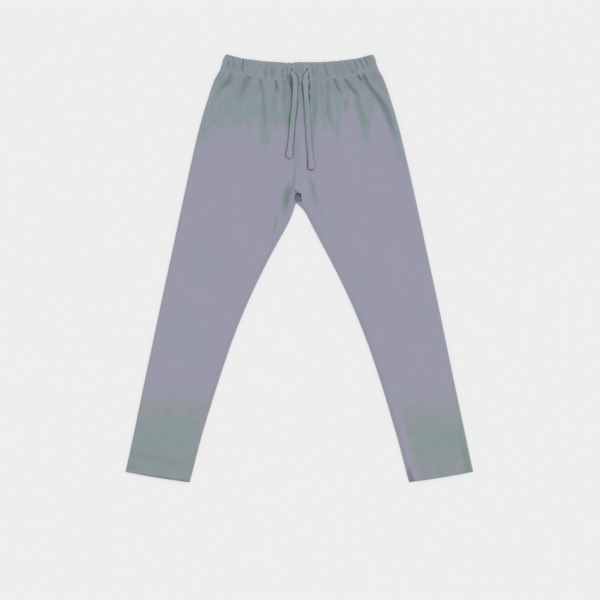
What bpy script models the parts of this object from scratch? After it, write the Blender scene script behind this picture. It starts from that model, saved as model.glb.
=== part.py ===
"""Child's jersey leggings with a gathered drawstring waist, laid flat with the front uppermost.

Every piece is a wall of cloth. Each leg is one pattern piece: a single sheet that starts at the centre front
seam and the inseam, crosses the front, folds round at the outer side, crosses the back and comes round to the
inseam again. The waistband is an elasticated casing gathered into a ring, with two buttonholes for the tie,
whose two ends lie on it.

Metres. +X is the wearer's left, +Y runs from the hems to the waist, +Z up. The garment lies on z = 0, and the
origin is below the middle of its outline. The tables are in millimetres.
"""

import math

import bpy
import numpy as np

MM = 0.001

# The cloth
CLOTH = 1.2 * MM  # wall of the jersey
SEAM_GAP = 0.3 * MM  # between edges that are sewn together
HALF_GAP = SEAM_GAP / 2
HEM_Y = -342.0 * MM  # at the inseam
HEM_HEIGHT = 21 * MM
HEM_WALL = 1.75 * CLOTH  # the turned-up hem, two layers pressed together
LEAST_LAY = 2 * CLOTH + 0.6 * MM  # the front nearly lies on the back wherever a crease goes right down

# A leg. A level is the height, in y, of a row of the sheet at its inner end.
WAIST_SEAM_Y = 298.8 * MM  # at the centre front
SIDE_LEVELS = [(-342.0, -325.4), (104, 112), (298.8, 317.1)]  # where a row ends at the outer side
CROTCH_Y = 122 * MM  # where the centre seams meet the inseams, on top
CURL_HEIGHT = 3.6 * MM  # the back rolls up to the inseam over this height below the crotch
OUTER_EDGE = [
    (317.1, 126.9),
    (301, 136.0),
    (269, 147.0),
    (221, 160.8),
    (173, 172.2),
    (109, 186.1),
    (45, 199.7),
    (-51, 220.3),
    (-147, 240.6),
    (-243, 260.5),
    (-325.4, 277.0),
]
INNER_EDGE = [
    (298.8, 0),
    (104, 0),
    (102, 1.4),
    (100, 3.1),
    (96, 5.7),
    (90, 9.2),
    (77, 15.4),
    (45, 32.5),
    (13, 49.9),
    (-51, 80.8),
    (-115, 107.2),
    (-179, 129.3),
    (-243, 148.6),
    (-342.0, 175.3),
]
INSEAM_INSET = [
    (-342.0, 5.0),
    (0, 5.6),
    (77, 5.2),
    (96, 5.0),
    (100, 5.6),
    (104, 7.4),
    (110, 5.2),
    (119.4, 4.5),
    (121.2, 3.4),
    (122, 0),
]
LAY = [
    (-342.0, 4.9),
    (-323, 4.9),
    (-314, 4.5),
    (0, 4.5),
    (104, 4.9),
    (208, 5.6),
    (270, 6.3),
    (288, 6.8),
    (298.8, 6.3),
]
ROLL_RADIUS = [(-342.0, 2.4), (-314, 2.2), (60, 2.2), (90, 2.0), (102, 1.8), (110, 1.35), (298.8, 1.35)]
FOLD_REACH = 2.6 * MM  # how far the fold at the outer side reaches out from the flat cloth
CROTCH_LIFT = 1.7 * MM  # the front stands up over the hollow between the inseams
CROTCH_LIFT_REACH = 8 * MM
INSEAM_DIP = [(101, 0), (109, 0.9), (122, 0.9)]  # share of the rise to the front that the back leaves out
CROTCH_LEAN = [
    (77, 0), (90, -1.5), (96, -2.7), (102.5, -4.2), (110, -2.8), (119, -1.7), (128, -0.4), (150, 0),
]
LEAN_REACH = 40 * MM  # the cloth between the legs lies askew, less and less this far out to each side
TOP_RUN_GROWTH = 0.8  # how fast the rolled back reaches over towards the inseam, below the crotch
LEAST_TOP_RUN = 0.05 * MM

# Gathers just below the waistband
LEG_GATHERS = 11  # in half the front
LEG_GATHER_DEPTH = 1.1 * MM
LEG_GATHER_REACH = 13 * MM

# Creases spread from the waistband and the crotch: a route of (x, y), the depth and the half width.
CREASES = {
    "right_leg": [
        ([(-109, 312), (-118, 298), (-131, 282)], 2.0, 6.0),
        ([(-82, 307), (-88, 288), (-108, 260)], 2.2, 6.5),
        ([(-63, 303), (-58, 277), (-54, 221), (-53, 190)], 2.0, 6.0),
        ([(-37.5, 300), (-36.5, 280), (-39, 222)], 2.0, 5.0),
        ([(-23.5, 299), (-21.5, 267), (-25, 220)], 1.1, 5.5),
        ([(-7.5, 165), (-11, 141), (-19.5, 118), (-22, 99), (-28, 82), (-39, 53), (-48, 35)], 1.7, 5.5),
    ],
    "left_leg": [
        ([(22, 299), (24, 276), (22, 215)], 1.3, 5.5),
        ([(35.5, 300), (37.5, 266), (38, 236)], 1.0, 4.5),
        ([(46, 300), (46, 247), (50, 232), (62, 196)], 1.7, 6.0),
        ([(59, 304), (69, 277)], 1.9, 5.0),
        ([(77, 306), (94, 271), (107, 227), (119, 179)], 2.2, 6.5),
        ([(104, 311), (129, 269), (149, 227), (157, 190)], 2.9, 6.5),
        ([(121, 314), (133, 298)], 1.2, 5.0),
        ([(16, 142), (23, 118), (31, 95), (36, 84)], 1.0, 6.0),
    ],
}
RIDGE_SHARE = 0.4  # the cloth stands up on both sides of a crease by this share of its depth

# The waistband
BAND_SIDE_RISE = 18.3 * MM  # how much higher its seam is at the sides than at the centre
BAND_SEAM_Y = WAIST_SEAM_Y + SEAM_GAP + 0.05 * MM
BAND_TOP_Y = 329.4 * MM
BAND_TOP_RISE = 12.6 * MM
BAND_WALL = 3.0 * MM  # cloth, elastic and cloth
BAND_LAYER_GAP = 0.6 * MM  # between its back half and its front half
BAND_GATHERS = 22  # across the front
BAND_GATHER_DEPTH = 0.9 * MM
# Against the share of its height from the seam to the top: half its width, and how thick it lies
BAND_HALF_WIDTH = [
    (0, 126.9), (0.11, 125.8), (0.37, 123.4), (0.63, 122.0), (0.82, 119.9),
    (0.95, 118.1), (1, 116.5),
]
BAND_LAY = [(0, 6.1), (0.08, 6.7), (0.25, 7.1), (0.5, 7.3), (0.75, 7.1), (0.92, 6.3), (1, 4.9)]

# Its two buttonholes
BUTTONHOLE_X = 12.3 * MM
BUTTONHOLE_Y = 315.6 * MM
BUTTONHOLE_HALF = (1.2 * MM, 3.8 * MM)
BUTTONHOLE_BEVEL = 0.5 * MM
BUTTONHOLE_DEPTH = 2.0 * MM

# The tie ends: the middle line from the buttonhole to the tip.
TIE_ROUTES = {
    "right_tie": [
        (-12.3, 313.6), (-11.3, 311.4), (-9.3, 308.2), (-7.6, 304.4), (-6.8, 299.5),
        (-6.6, 292), (-6.8, 282), (-7.6, 267), (-9.1, 252.5), (-10.7, 238),
        (-12.0, 222), (-13.5, 205), (-15.2, 190), (-16.4, 176.3),
    ],
    "left_tie": [
        (12.3, 313.6), (11.6, 311.2), (10.5, 307.5), (9.9, 303), (10.1, 296),
        (10.3, 288), (10.6, 280), (11.4, 267), (12.3, 253), (13.4, 238),
        (14.6, 219.5), (15.6, 204), (16.9, 189), (18.4, 173), (19.9, 158.3),
    ],
}
TIE_CLEARANCE = 0.4 * MM
TIE_STATION = 6 * MM
TIE_HALF_REACH = 5.5 * MM  # the tie rests on the highest cloth this far to each side
TIE_ROOT = 1.3 * MM  # how far it starts inside the buttonhole
# It comes straight up out of the buttonhole: (distance along the route, height over the band's face)
TIE_RISES = [(0, 0.5), (0.5, 1.6), (1.6, 2.1)]
TIE_SETTLE = 4 * MM  # and then comes down on to the cloth over about this distance
# (distance from the buttonhole, width, thickness), and the same measured back from the tip
TIE_START = [(0, 1.7, 2.3), (1.5, 2.6, 2.3), (3.5, 4.6, 2.5), (7, 7.0, 2.7), (12, 7.8, 2.7)]
TIE_TIP = [(0, 7.6, 1.4), (1.0, 9.8, 2.4), (4, 10.4, 2.9), (9, 9.2, 2.8), (16, 7.8, 2.7)]

JERSEY_COLOUR = (0.300, 0.317, 0.375)
TIE_COLOUR = (0.305, 0.322, 0.378)


def smooth_curve(table, unit=MM):
    """A function of position through a table's (position, value) rows, smooth and without overshoot."""
    at, value = np.array(sorted(table), float).T
    slope = np.diff(value) / np.diff(at)
    tangent = np.concatenate([slope[:1], np.zeros(len(at) - 2), slope[-1:]])
    for i in range(1, len(at) - 1):
        if slope[i - 1] * slope[i] > 0:
            tangent[i] = 2 * slope[i - 1] * slope[i] / (slope[i - 1] + slope[i])

    def value_at(position):
        p = np.clip(np.asarray(position, float), at[0] * MM, at[-1] * MM) / MM
        i = np.clip(np.searchsorted(at, p) - 1, 0, len(at) - 2)
        width = at[i + 1] - at[i]
        t = (p - at[i]) / width
        ends = (1 + 2 * t) * (1 - t) ** 2 * value[i] + t * t * (3 - 2 * t) * value[i + 1]
        turns = t * (1 - t) ** 2 * tangent[i] - t * t * (1 - t) * tangent[i + 1]
        return (ends + turns * width) * unit

    return value_at


def ramp(x):
    """0 below 0, 1 above 1, smooth between."""
    t = np.clip(x, 0, 1)
    return t * t * (3 - 2 * t)


def by_share(table):
    """smooth_curve for a table against a share from 0 to 1."""
    curve = smooth_curve(table)
    return lambda share: curve(np.asarray(share) * MM)


outer_x = smooth_curve(OUTER_EDGE)
inner_x = smooth_curve(INNER_EDGE)
inseam_inset = smooth_curve(INSEAM_INSET)
lay = smooth_curve(LAY)
roll_radius = smooth_curve(ROLL_RADIUS)
inseam_dip = smooth_curve(INSEAM_DIP, unit=1)
crotch_lean = smooth_curve(CROTCH_LEAN)
band_half_width = by_share(BAND_HALF_WIDTH)
band_lay = by_share(BAND_LAY)


def side_level(level):
    inner, outer = np.array(SIDE_LEVELS).T * MM
    return np.interp(level, inner, outer)


def route_points(route, spacing):
    """Points at even spacing along a smooth curve through a route's (x, y) rows, in metres."""
    corners = np.array(route, float)
    along = np.concatenate([[0], np.cumsum(np.linalg.norm(np.diff(corners, axis=0), axis=1))])
    at = np.linspace(0, along[-1], max(3, round(along[-1] * MM / spacing) + 1)) * MM
    curves = [smooth_curve(list(zip(along, corners[:, k]))) for k in (0, 1)]
    return np.stack([curve(at) for curve in curves], axis=1)


def crease_depth(x, y, creases):
    """How much the creases lower the cloth at (x, y). It is negative on the ridges beside them."""
    total = np.zeros(np.shape(x))
    for route, depth, half_width in creases:
        line = route_points(route, 3 * MM)
        away = np.hypot(x[..., None] - line[:, 0], y[..., None] - line[:, 1])
        along = away.argmin(axis=-1) / (len(line) - 1)
        across = away.min(axis=-1) / (half_width * MM)
        fades = ramp((1 - along) / 0.65) * (0.6 + 0.4 * ramp(along / 0.25))
        trough = np.exp(-(across**2)) - RIDGE_SHARE * np.exp(-((across - 1.9) ** 2) / 0.7)
        total = total + depth * MM * fades * trough
    return total


def row_y(x, level):
    """Height in y of the row at this level, at distance x from the centre."""
    edge = np.maximum(inner_x(level), HALF_GAP)
    side = side_level(level)
    across = (x - edge) / (outer_x(side) - edge)
    curved = ramp((level - 104 * MM) / (WAIST_SEAM_Y - 104 * MM))
    return level + (side - level) * (curved * across**2 + (1 - curved) * across)


def front_height(x, level, side, creases):
    """Height of the front's outer face over the table, at distance x from the centre."""
    y = row_y(x, level)
    below_band = WAIST_SEAM_Y - level
    across = x / (outer_x(side_level(level)) - FOLD_REACH)
    reach = np.exp(-((below_band / LEG_GATHER_REACH) ** 2)) * ramp((1 - across) / 0.08)
    reach = reach * (0.6 + 0.4 * ramp(below_band / (6 * MM)))
    gather = LEG_GATHER_DEPTH * reach * np.cos(2 * math.pi * LEG_GATHERS * across)
    lift = CROTCH_LIFT * np.exp(-(x**2 + (y - CROTCH_Y) ** 2) / CROTCH_LIFT_REACH**2)
    height = lay(level) - gather + lift - crease_depth(side * x, y, creases)
    soft = 0.5 * MM
    return LEAST_LAY + soft * np.logaddexp(0, (height - LEAST_LAY) / soft)


def leg_surface(u, level, side, creases):
    """The outer face of a leg at column u and row level. u runs 0 to 1 over the front, to 2 round the outer
    fold, to 3 under the back and to 4 up to the inseam. side is 1 for the wearer's left, -1 for the right."""
    edge = np.maximum(inner_x(level), HALF_GAP)
    seam_x = edge + inseam_inset(level)
    fold_x = outer_x(side_level(level)) - FOLD_REACH

    # The back ends flat at the centre back seam above the crotch, and rolls up to the inseam below it.
    curl = np.clip((CROTCH_Y - level) / CURL_HEIGHT, 0, 1)
    radius = roll_radius(level)
    arc = math.pi * curl
    roll_x = edge + radius * np.sin(np.minimum(arc, math.pi / 2))
    flat_run = 7 * MM * (1 - curl) + 1 * MM
    below_curl = np.maximum(CROTCH_Y - CURL_HEIGHT - level, 0)
    top_run = np.minimum(seam_x - SEAM_GAP - roll_x, TOP_RUN_GROWTH * below_curl + LEAST_TOP_RUN)
    top_run = np.maximum(top_run, LEAST_TOP_RUN) * (curl == 1)

    front_u = np.clip(u, 0, 1)
    front_x = seam_x + front_u * (fold_x - seam_x)
    front_z = front_height(front_x, level, side, creases)

    turn = math.pi / 2 - math.pi * np.clip(u - 1, 0, 1)
    side_x = fold_x + FOLD_REACH * np.cos(turn)
    side_z = front_height(fold_x, level, side, creases) / 2 * (1 + np.sin(turn))

    back_x = fold_x + np.clip(u - 2, 0, 1) * (roll_x + flat_run - fold_x)

    length = np.clip(u - 3, 0, 1) * (flat_run + radius * arc + top_run)
    roll = np.clip((length - flat_run) / radius, 0, arc)
    over = np.clip(length - flat_run - radius * arc, 0, None)
    seam_z = front_height(seam_x, level, side, creases)
    end_x = roll_x + np.maximum(flat_run - length, 0) - radius * np.sin(roll) + over
    rise = (seam_z - 2 * radius) * (1 - inseam_dip(level))
    end_z = radius * (1 - np.cos(roll)) + rise * ramp(over / np.maximum(top_run, 1e-6))

    x = np.select([u <= 1, u <= 2, u <= 3], [front_x, side_x, back_x], end_x)
    z = np.select([u <= 1, u <= 2, u <= 3], [front_z, side_z, 0 * u], end_z)
    y = row_y(x, level)
    lean = crotch_lean(y) * ramp(1 - x / LEAN_REACH)
    return np.stack([side * x + lean, y, z], axis=-1)


def leg_wall(level):
    return CLOTH + (HEM_WALL - CLOTH) * ramp((HEM_Y + HEM_HEIGHT + 3 * MM - level) / (6 * MM))


def leg_rows():
    """Each row's level and its columns over the front, outside and inside, from the waist to the hem."""
    gathers = [WAIST_SEAM_Y / MM - down for down in (0, 5, 11, 18, 26, 35, 46, 60, 76)]
    hips = [208, 190, 170, 152, 138, 128]
    crotch = [122.8, 121.2, 119.8, 118.2, 114.5, 110, 105.5, 103.2, 101.6, 99.9, 97.6]
    thighs = [94, 89, 82, 72, 58, 40]
    legs = [15, -20, -60, -105, -150, -195, -240, -280]
    hem = [(HEM_Y + HEM_HEIGHT) / MM + 5, (HEM_Y + HEM_HEIGHT) / MM - 4, HEM_Y / MM + 3, HEM_Y / MM]
    fine = leg_columns(np.linspace(0, 1, 4 * LEG_GATHERS + 1))
    even = leg_columns(np.linspace(0, 1, 2 * LEG_GATHERS + 1))
    near_seam = leg_columns(np.array([0, 1, 2, 3, 4, 5, 7, 9, 12, 15, 18, 22]) / 22)
    coarse = leg_columns(np.array([0, 1, 3, 6, 9, 12, 15, 18, 22]) / 22)
    return (
        [(level * MM, fine, even) for level in gathers]
        + [(level * MM, even, even) for level in hips]
        + [(level * MM, near_seam, near_seam) for level in crotch + thighs]
        + [(level * MM, coarse, coarse) for level in legs + hem]
    )


def leg_columns(front):
    fold = 1 + np.arange(1, 5) / 4
    back = 2 + np.arange(1, 7) / 6
    end = 3 + np.arange(1, 7) / 6
    return np.concatenate([front, fold, back, end])


def inward(surface, u, level):
    """Unit normals of a leg's outer face, pointing into the garment on the wearer's left."""
    along = surface(u + 1e-4, level) - surface(u - 1e-4, level)
    down = surface(u, level - 0.01 * MM) - surface(u, level + 0.01 * MM)
    normal = np.cross(along, down)
    return normal / np.linalg.norm(normal, axis=-1, keepdims=True)


class Shell:
    """Collects points and faces, and makes the named object."""

    def __init__(self):
        self.points = []
        self.faces = []

    def row(self, points, closed=False):
        first = len(self.points)
        self.points += [tuple(float(c) for c in p) for p in points]
        added = list(range(first, len(self.points)))
        return added + added[:1] if closed else added

    def bridge(self, a, at_a, b, at_b):
        """Faces between two rows whose points lie at the positions at_a and at_b."""
        i = j = 0
        while i < len(a) - 1 or j < len(b) - 1:
            next_a = at_a[i + 1] if i < len(a) - 1 else math.inf
            next_b = at_b[j + 1] if j < len(b) - 1 else math.inf
            if abs(next_a - next_b) < 1e-9:
                self.faces.append((a[i], a[i + 1], b[j + 1], b[j]))
                i, j = i + 1, j + 1
            elif next_a < next_b:
                self.faces.append((a[i], a[i + 1], b[j]))
                i += 1
            else:
                self.faces.append((a[i], b[j + 1], b[j]))
                j += 1

    def make(self, name, material):
        mesh = bpy.data.meshes.new(name)
        mesh.from_pydata(self.points, [], self.faces)
        mesh.validate()
        obj = bpy.data.objects.new(name, mesh)
        bpy.context.scene.collection.objects.link(obj)
        obj.data.materials.append(material)
        mesh.shade_smooth()
        mesh.set_sharp_from_angle(angle=math.radians(50))
        return obj


def make_leg(name, side, material):
    creases = CREASES[name]

    def surface(u, level):
        u, level = np.broadcast_arrays(np.asarray(u, float), np.asarray(level, float))
        return leg_surface(u, level, side, creases)

    shell = Shell()
    rows = leg_rows()
    outer_rows, inner_rows = [], []
    for level, outside, inside in rows:
        outer_rows.append(shell.row(surface(outside, level)))
        face = surface(inside, level)
        near = np.clip(level, HEM_Y + 0.1 * MM, WAIST_SEAM_Y - 0.1 * MM)
        normal = side * inward(surface, np.clip(inside, 1e-3, 4 - 1e-3), near)
        if level > CROTCH_Y:
            normal[inside == 0] *= [0, 1, 1]
        normal[(inside >= 3 - 1e-9) & (face[:, 2] < 1e-9)] = [0, 0, 1]
        inner_rows.append(shell.row(face + normal * leg_wall(level)))
    for k in range(len(rows) - 1):
        shell.bridge(outer_rows[k], rows[k][1], outer_rows[k + 1], rows[k + 1][1])
        shell.bridge(inner_rows[k + 1], rows[k + 1][2], inner_rows[k], rows[k][2])
        for end, order in ((0, 1), (-1, -1)):
            outer = (outer_rows[k][end], outer_rows[k + 1][end])
            inner = (inner_rows[k + 1][end], inner_rows[k][end])
            shell.faces.append((outer + inner)[::order])
    shell.bridge(inner_rows[0], rows[0][2], outer_rows[0], rows[0][1])
    shell.bridge(outer_rows[-1], rows[-1][1], inner_rows[-1], rows[-1][2])
    if side > 0:
        shell.faces = [face[::-1] for face in shell.faces]
    return shell.make(name, material)


def band_bottom(x):
    return BAND_SEAM_Y + BAND_SIDE_RISE * (x / (126.9 * MM)) ** 2


def band_top(x):
    return BAND_TOP_Y + BAND_TOP_RISE * np.abs(x / (116.5 * MM)) ** 3


def buttonhole_depth(x, y):
    beyond_x = np.abs(np.abs(x) - BUTTONHOLE_X) - BUTTONHOLE_HALF[0]
    beyond_y = np.abs(y - BUTTONHOLE_Y) - BUTTONHOLE_HALF[1]
    return BUTTONHOLE_DEPTH * np.clip(1 - np.maximum(beyond_x, beyond_y) / BUTTONHOLE_BEVEL, 0, 1)


def band_front_height(x, w):
    """Height of the band's front face over the table, without the buttonholes."""
    across = x / (band_half_width(w) - FOLD_REACH)
    reach = ramp((1 - np.abs(across)) / 0.05) * (0.5 + 0.5 * ramp(w / 0.15) * ramp((1 - w) / 0.15))
    gather = BAND_GATHER_DEPTH * reach * (0.5 + 0.5 * np.cos(math.pi * BAND_GATHERS * across))
    return band_lay(w) - gather


def band_surface(u, w):
    """The outer face of the waistband. u runs 0 to 1 over the front from right to left, to 2 round a side,
    to 3 under the back and to 4 round the other side. w is the share of the height."""
    half = band_half_width(w)
    reach = BAND_WALL + BAND_LAYER_GAP / 2
    fold_x = half - reach
    turn = math.pi / 2 - math.pi * np.clip(u - 1, 0, 1) - math.pi * np.clip(u - 3, 0, 1)
    front = (2 * np.clip(u, 0, 1) - 1) * fold_x
    back = (1 - 2 * np.clip(u - 2, 0, 1)) * fold_x
    middle = np.where(u <= 2, front, back)
    x = middle + reach * np.cos(turn) * ((u > 1) & (u < 2) | (u > 3))
    y = band_bottom(x) + (band_top(x) - band_bottom(x)) * w
    top = band_front_height(middle, w)
    z = top / 2 * (1 + np.sin(turn))
    z = z - buttonhole_depth(x, y) * (u < 1)
    return np.stack([x, y, z], axis=-1)


def band_inside(u, w):
    """The inner face of the waistband, smooth and with no gathers."""
    half = band_half_width(w)
    reach = BAND_LAYER_GAP / 2
    fold_x = half - BAND_WALL - reach
    turn = math.pi / 2 - math.pi * np.clip(u - 1, 0, 1) - math.pi * np.clip(u - 3, 0, 1)
    front = (2 * np.clip(u, 0, 1) - 1) * fold_x
    back = (1 - 2 * np.clip(u - 2, 0, 1)) * fold_x
    x = np.where(u <= 2, front, back) + reach * np.cos(turn) * ((u > 1) & (u < 2) | (u > 3))
    y = band_bottom(x) + (band_top(x) - band_bottom(x)) * w
    return np.stack([x, y, BAND_WALL + reach * (1 + np.sin(turn))], axis=-1)


def make_waistband(material):
    fold_x = 126.9 * MM - BAND_WALL - BAND_LAYER_GAP / 2
    rim = BUTTONHOLE_HALF[0] + BUTTONHOLE_BEVEL
    lip = np.array([-rim, -BUTTONHOLE_HALF[0], BUTTONHOLE_HALF[0], rim])
    lips = [*(lip - BUTTONHOLE_X), *(lip + BUTTONHOLE_X)]
    gathers = np.linspace(-fold_x, fold_x, 4 * BAND_GATHERS + 1)
    clear = [x for x in gathers if abs(abs(x) - BUTTONHOLE_X) > rim + 0.8 * MM]
    front = (np.array(sorted(clear + lips)) / fold_x + 1) / 2
    fold = np.arange(1, 5) / 4
    sides_and_back = [1 + fold, 2 + np.arange(1, 13) / 12, 3 + fold]
    around = np.concatenate([front, *sides_and_back])
    inside = np.concatenate([np.arange(17) / 16, *sides_and_back])
    height = BAND_TOP_Y - BAND_SEAM_Y
    middle = (BUTTONHOLE_Y - BAND_SEAM_Y) / height
    inner_lip = (BUTTONHOLE_HALF[1] - 0.1 * MM) / height
    outer_lip = inner_lip + (BUTTONHOLE_BEVEL + 0.2 * MM) / height
    lips_w = [middle - outer_lip, middle - inner_lip, middle, middle + inner_lip, middle + outer_lip]
    rows = sorted([0, 0.07, 0.2, 0.87, 0.95, 1] + lips_w)
    shell = Shell()
    outer_rows = [shell.row(band_surface(around, w)[:-1], closed=True) for w in rows]
    inner_rows = [shell.row(band_inside(inside, w)[:-1], closed=True) for w in (0, 0.37, 0.82, 1)]
    for below, above in zip(outer_rows, outer_rows[1:]):
        shell.bridge(below, around, above, around)
    for below, above in zip(inner_rows, inner_rows[1:]):
        shell.bridge(above, inside, below, inside)
    shell.bridge(inner_rows[0], inside, outer_rows[0], around)
    shell.bridge(outer_rows[-1], around, inner_rows[-1], inside)
    return shell.make("waistband", material)


def garment_top(x, y):
    """Height of the highest cloth at (x, y), near the centre front."""
    level = np.array(y, float)
    for _ in range(8):
        level = level + y - row_y(np.abs(x), level)
    left = front_height(np.abs(x), level, 1, CREASES["left_leg"])
    right = front_height(np.abs(x), level, -1, CREASES["right_leg"])
    leg = np.where(x > 0, left, right)
    w = (y - band_bottom(x)) / (band_top(x) - band_bottom(x))
    band = band_front_height(x, np.clip(w, 0, 1))
    return np.where(w > -0.02, np.where(w < 0, np.maximum(leg, band), band), leg)


def tie_path(route):
    """The rings' centres, from inside the buttonhole to the tip."""
    line = route_points(route, 1 * MM)
    step = np.gradient(line, axis=0)
    sideways = np.stack([-step[:, 1], step[:, 0]], axis=1) / np.linalg.norm(step, axis=1)[:, None]
    offsets = np.linspace(-1, 1, 9) * TIE_HALF_REACH
    under = line[:, None, :] + offsets[None, :, None] * sideways[:, None, :]
    support = garment_top(under[..., 0], under[..., 1]).max(axis=1)
    padded = np.pad(support, 8, mode="edge")
    highest = np.array([padded[i : i + 17].max() for i in range(len(support))])
    padded = np.pad(highest, 8, mode="edge")
    rest = np.array([padded[i : i + 17].mean() for i in range(len(support))])
    face = rest[0]

    along = np.concatenate([[0], np.cumsum(np.linalg.norm(np.diff(line, axis=0), axis=1))])
    flat = rest + TIE_CLEARANCE + TIE_START[-1][2] / 2 * MM
    lifted = face + TIE_RISES[-1][1] * MM
    centres = [(*line[0], face - TIE_ROOT)]
    for at, up in np.array(TIE_RISES) * MM:
        centres.append((np.interp(at, along, line[:, 0]), np.interp(at, along, line[:, 1]), face + up))
    stations = np.concatenate([[3.4 * MM, 6 * MM], np.arange(9.5 * MM, along[-1] - 17 * MM, TIE_STATION)])
    from_tip = np.array([16, 12.5, 9, 6.5, 4, 1.0, 0]) * MM
    stations = np.concatenate([stations[stations < along[-1] - 18 * MM], along[-1] - from_tip])
    for at in stations:
        settle = np.exp(-at / TIE_SETTLE)
        lying = np.interp(at, along, flat)
        z = lying * (1 - settle) + max(lifted, lying) * settle
        centres.append((np.interp(at, along, line[:, 0]), np.interp(at, along, line[:, 1]), z))
    return np.array(centres)


def make_tie(name, material):
    centres = tie_path(TIE_ROUTES[name])
    along = np.concatenate([[0], np.cumsum(np.linalg.norm(np.diff(centres, axis=0), axis=1))])
    start = np.array(TIE_START) * MM
    tip = np.array(TIE_TIP) * MM
    shell = Shell()
    rows = []
    angles = np.arange(10) / 10 * 2 * math.pi
    for k, centre in enumerate(centres):
        ahead = centres[min(k + 1, len(centres) - 1)] - centres[max(k - 1, 0)]
        if k == 0:
            ahead = np.array([0, 0, 1.0])
        ahead = ahead / np.linalg.norm(ahead)
        flat_ahead = centres[min(max(k, 4) + 1, len(centres) - 1)] - centres[max(k, 4) - 1]
        across = np.array([flat_ahead[1], -flat_ahead[0], 0])
        across = across / np.linalg.norm(across)
        up = np.cross(across, ahead)
        up = up / np.linalg.norm(up)
        from_tip = along[-1] - along[k]
        near_tip = from_tip < tip[-1, 0]
        table, at = (tip, from_tip) if near_tip else (start, along[k])
        width = np.interp(at, table[:, 0], table[:, 1])
        thickness = np.interp(at, table[:, 0], table[:, 2])
        c, s = np.cos(angles), np.sin(angles)
        wide = width / 2 * np.sign(c) * np.abs(c) ** 0.7
        high = thickness / 2 * np.sign(s) * np.abs(s) ** 0.75
        rows.append(shell.row(centre + wide[:, None] * across + high[:, None] * up, closed=True))
    position = np.arange(11)
    for a, b in zip(rows, rows[1:]):
        shell.bridge(a, position, b, position)
    shell.faces.append(tuple(rows[0][:-1][::-1]))
    shell.faces.append(tuple(rows[-1][:-1]))
    shell.faces = [face[::-1] for face in shell.faces]
    return shell.make(name, material)


def clear_scene():
    for obj in list(bpy.data.objects):
        bpy.data.objects.remove(obj)


def make_material(name, colour, roughness):
    material = bpy.data.materials.new(name)
    material.use_nodes = True
    shader = material.node_tree.nodes["Principled BSDF"]
    shader.inputs["Base Color"].default_value = (*colour, 1)
    shader.inputs["Roughness"].default_value = roughness
    shader.inputs["Metallic"].default_value = 0
    return material


clear_scene()
jersey = make_material("jersey", JERSEY_COLOUR, 0.9)
tie_jersey = make_material("tie_jersey", TIE_COLOUR, 0.9)
make_leg("left_leg", 1, jersey)
make_leg("right_leg", -1, jersey)
make_waistband(jersey)
make_tie("left_tie", tie_jersey)
make_tie("right_tie", tie_jersey)
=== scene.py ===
"""The looks of a child's jersey leggings with a gathered drawstring waist, laid flat with the front up.

Each leg is one piece of plain jersey: it starts at the centre front seam and the inseam, crosses the front,
folds round at the outer side and comes back under to the inseam. An elasticated casing gathers the waist,
and the two ends of its tie come out of two buttonholes and lie on the front. Tables of sizes are in
millimetres.
"""

import math

import bpy
import numpy as np
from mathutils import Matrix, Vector


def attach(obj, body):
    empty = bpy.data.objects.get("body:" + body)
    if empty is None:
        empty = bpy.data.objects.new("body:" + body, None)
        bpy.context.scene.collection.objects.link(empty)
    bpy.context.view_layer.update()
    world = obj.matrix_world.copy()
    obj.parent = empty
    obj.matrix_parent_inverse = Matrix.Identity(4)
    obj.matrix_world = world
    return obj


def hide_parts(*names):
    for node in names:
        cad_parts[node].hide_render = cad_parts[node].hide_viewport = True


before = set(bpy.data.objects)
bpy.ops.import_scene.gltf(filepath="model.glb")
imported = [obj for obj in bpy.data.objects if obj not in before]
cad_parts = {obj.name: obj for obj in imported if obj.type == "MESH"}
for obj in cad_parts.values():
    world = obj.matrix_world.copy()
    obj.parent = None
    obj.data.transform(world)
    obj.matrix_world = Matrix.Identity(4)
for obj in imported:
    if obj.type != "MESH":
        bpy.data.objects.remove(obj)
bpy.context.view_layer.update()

MM = 0.001

# Which side of the middle each piece lies on
SIDES = {"right_leg": -1, "left_leg": 1, "right_tie": -1, "left_tie": 1}

# The jersey
CLOTH = 1.0 * MM
SEAM_GAP = 0.04 * MM
HALF_GAP = SEAM_GAP / 2
SEAM_ROUND = 0.22 * MM  # how far an edge rounds over into its seam
HEM_Y = -342.0 * MM
HEM_HEIGHT = 21 * MM
HEM_WALL = 2.1 * MM
HEM_ROUND = 0.48 * HEM_WALL
HEM_STEP = 6 * MM  # the wall grows to the hem's over this height
HEM_LIP = 5 * MM  # fine waves fade out this near the hem's edge, because they would cut through it
LEAST_LAY = 3.0 * MM  # the front nearly lies on the back wherever a fold goes right down
LAY_SOFTNESS = 0.5 * MM
MOST_FINE_DEPTH = 0.75 * MM  # fine folds stay in the wall of the cloth
MOST_BACK_DEPTH = 0.6 * MM  # the back is pressed flat, so its folds are shallow
CROTCH_SHADE_MIDDLE = (-1.3 * MM, 113.0 * MM)  # the middle of the painted shade in the hollow at the crotch, where the inseams part
CROTCH_SHADE_HALF = (9.5 * MM, 10.5 * MM)
CROTCH_SHADE_TOP_Z = 5.6 * MM
CROTCH_SHADE_FADE = 1.6 * MM
WALE_LEAN = math.radians(14)  # the columns of knitting run down the middle of each leg

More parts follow.
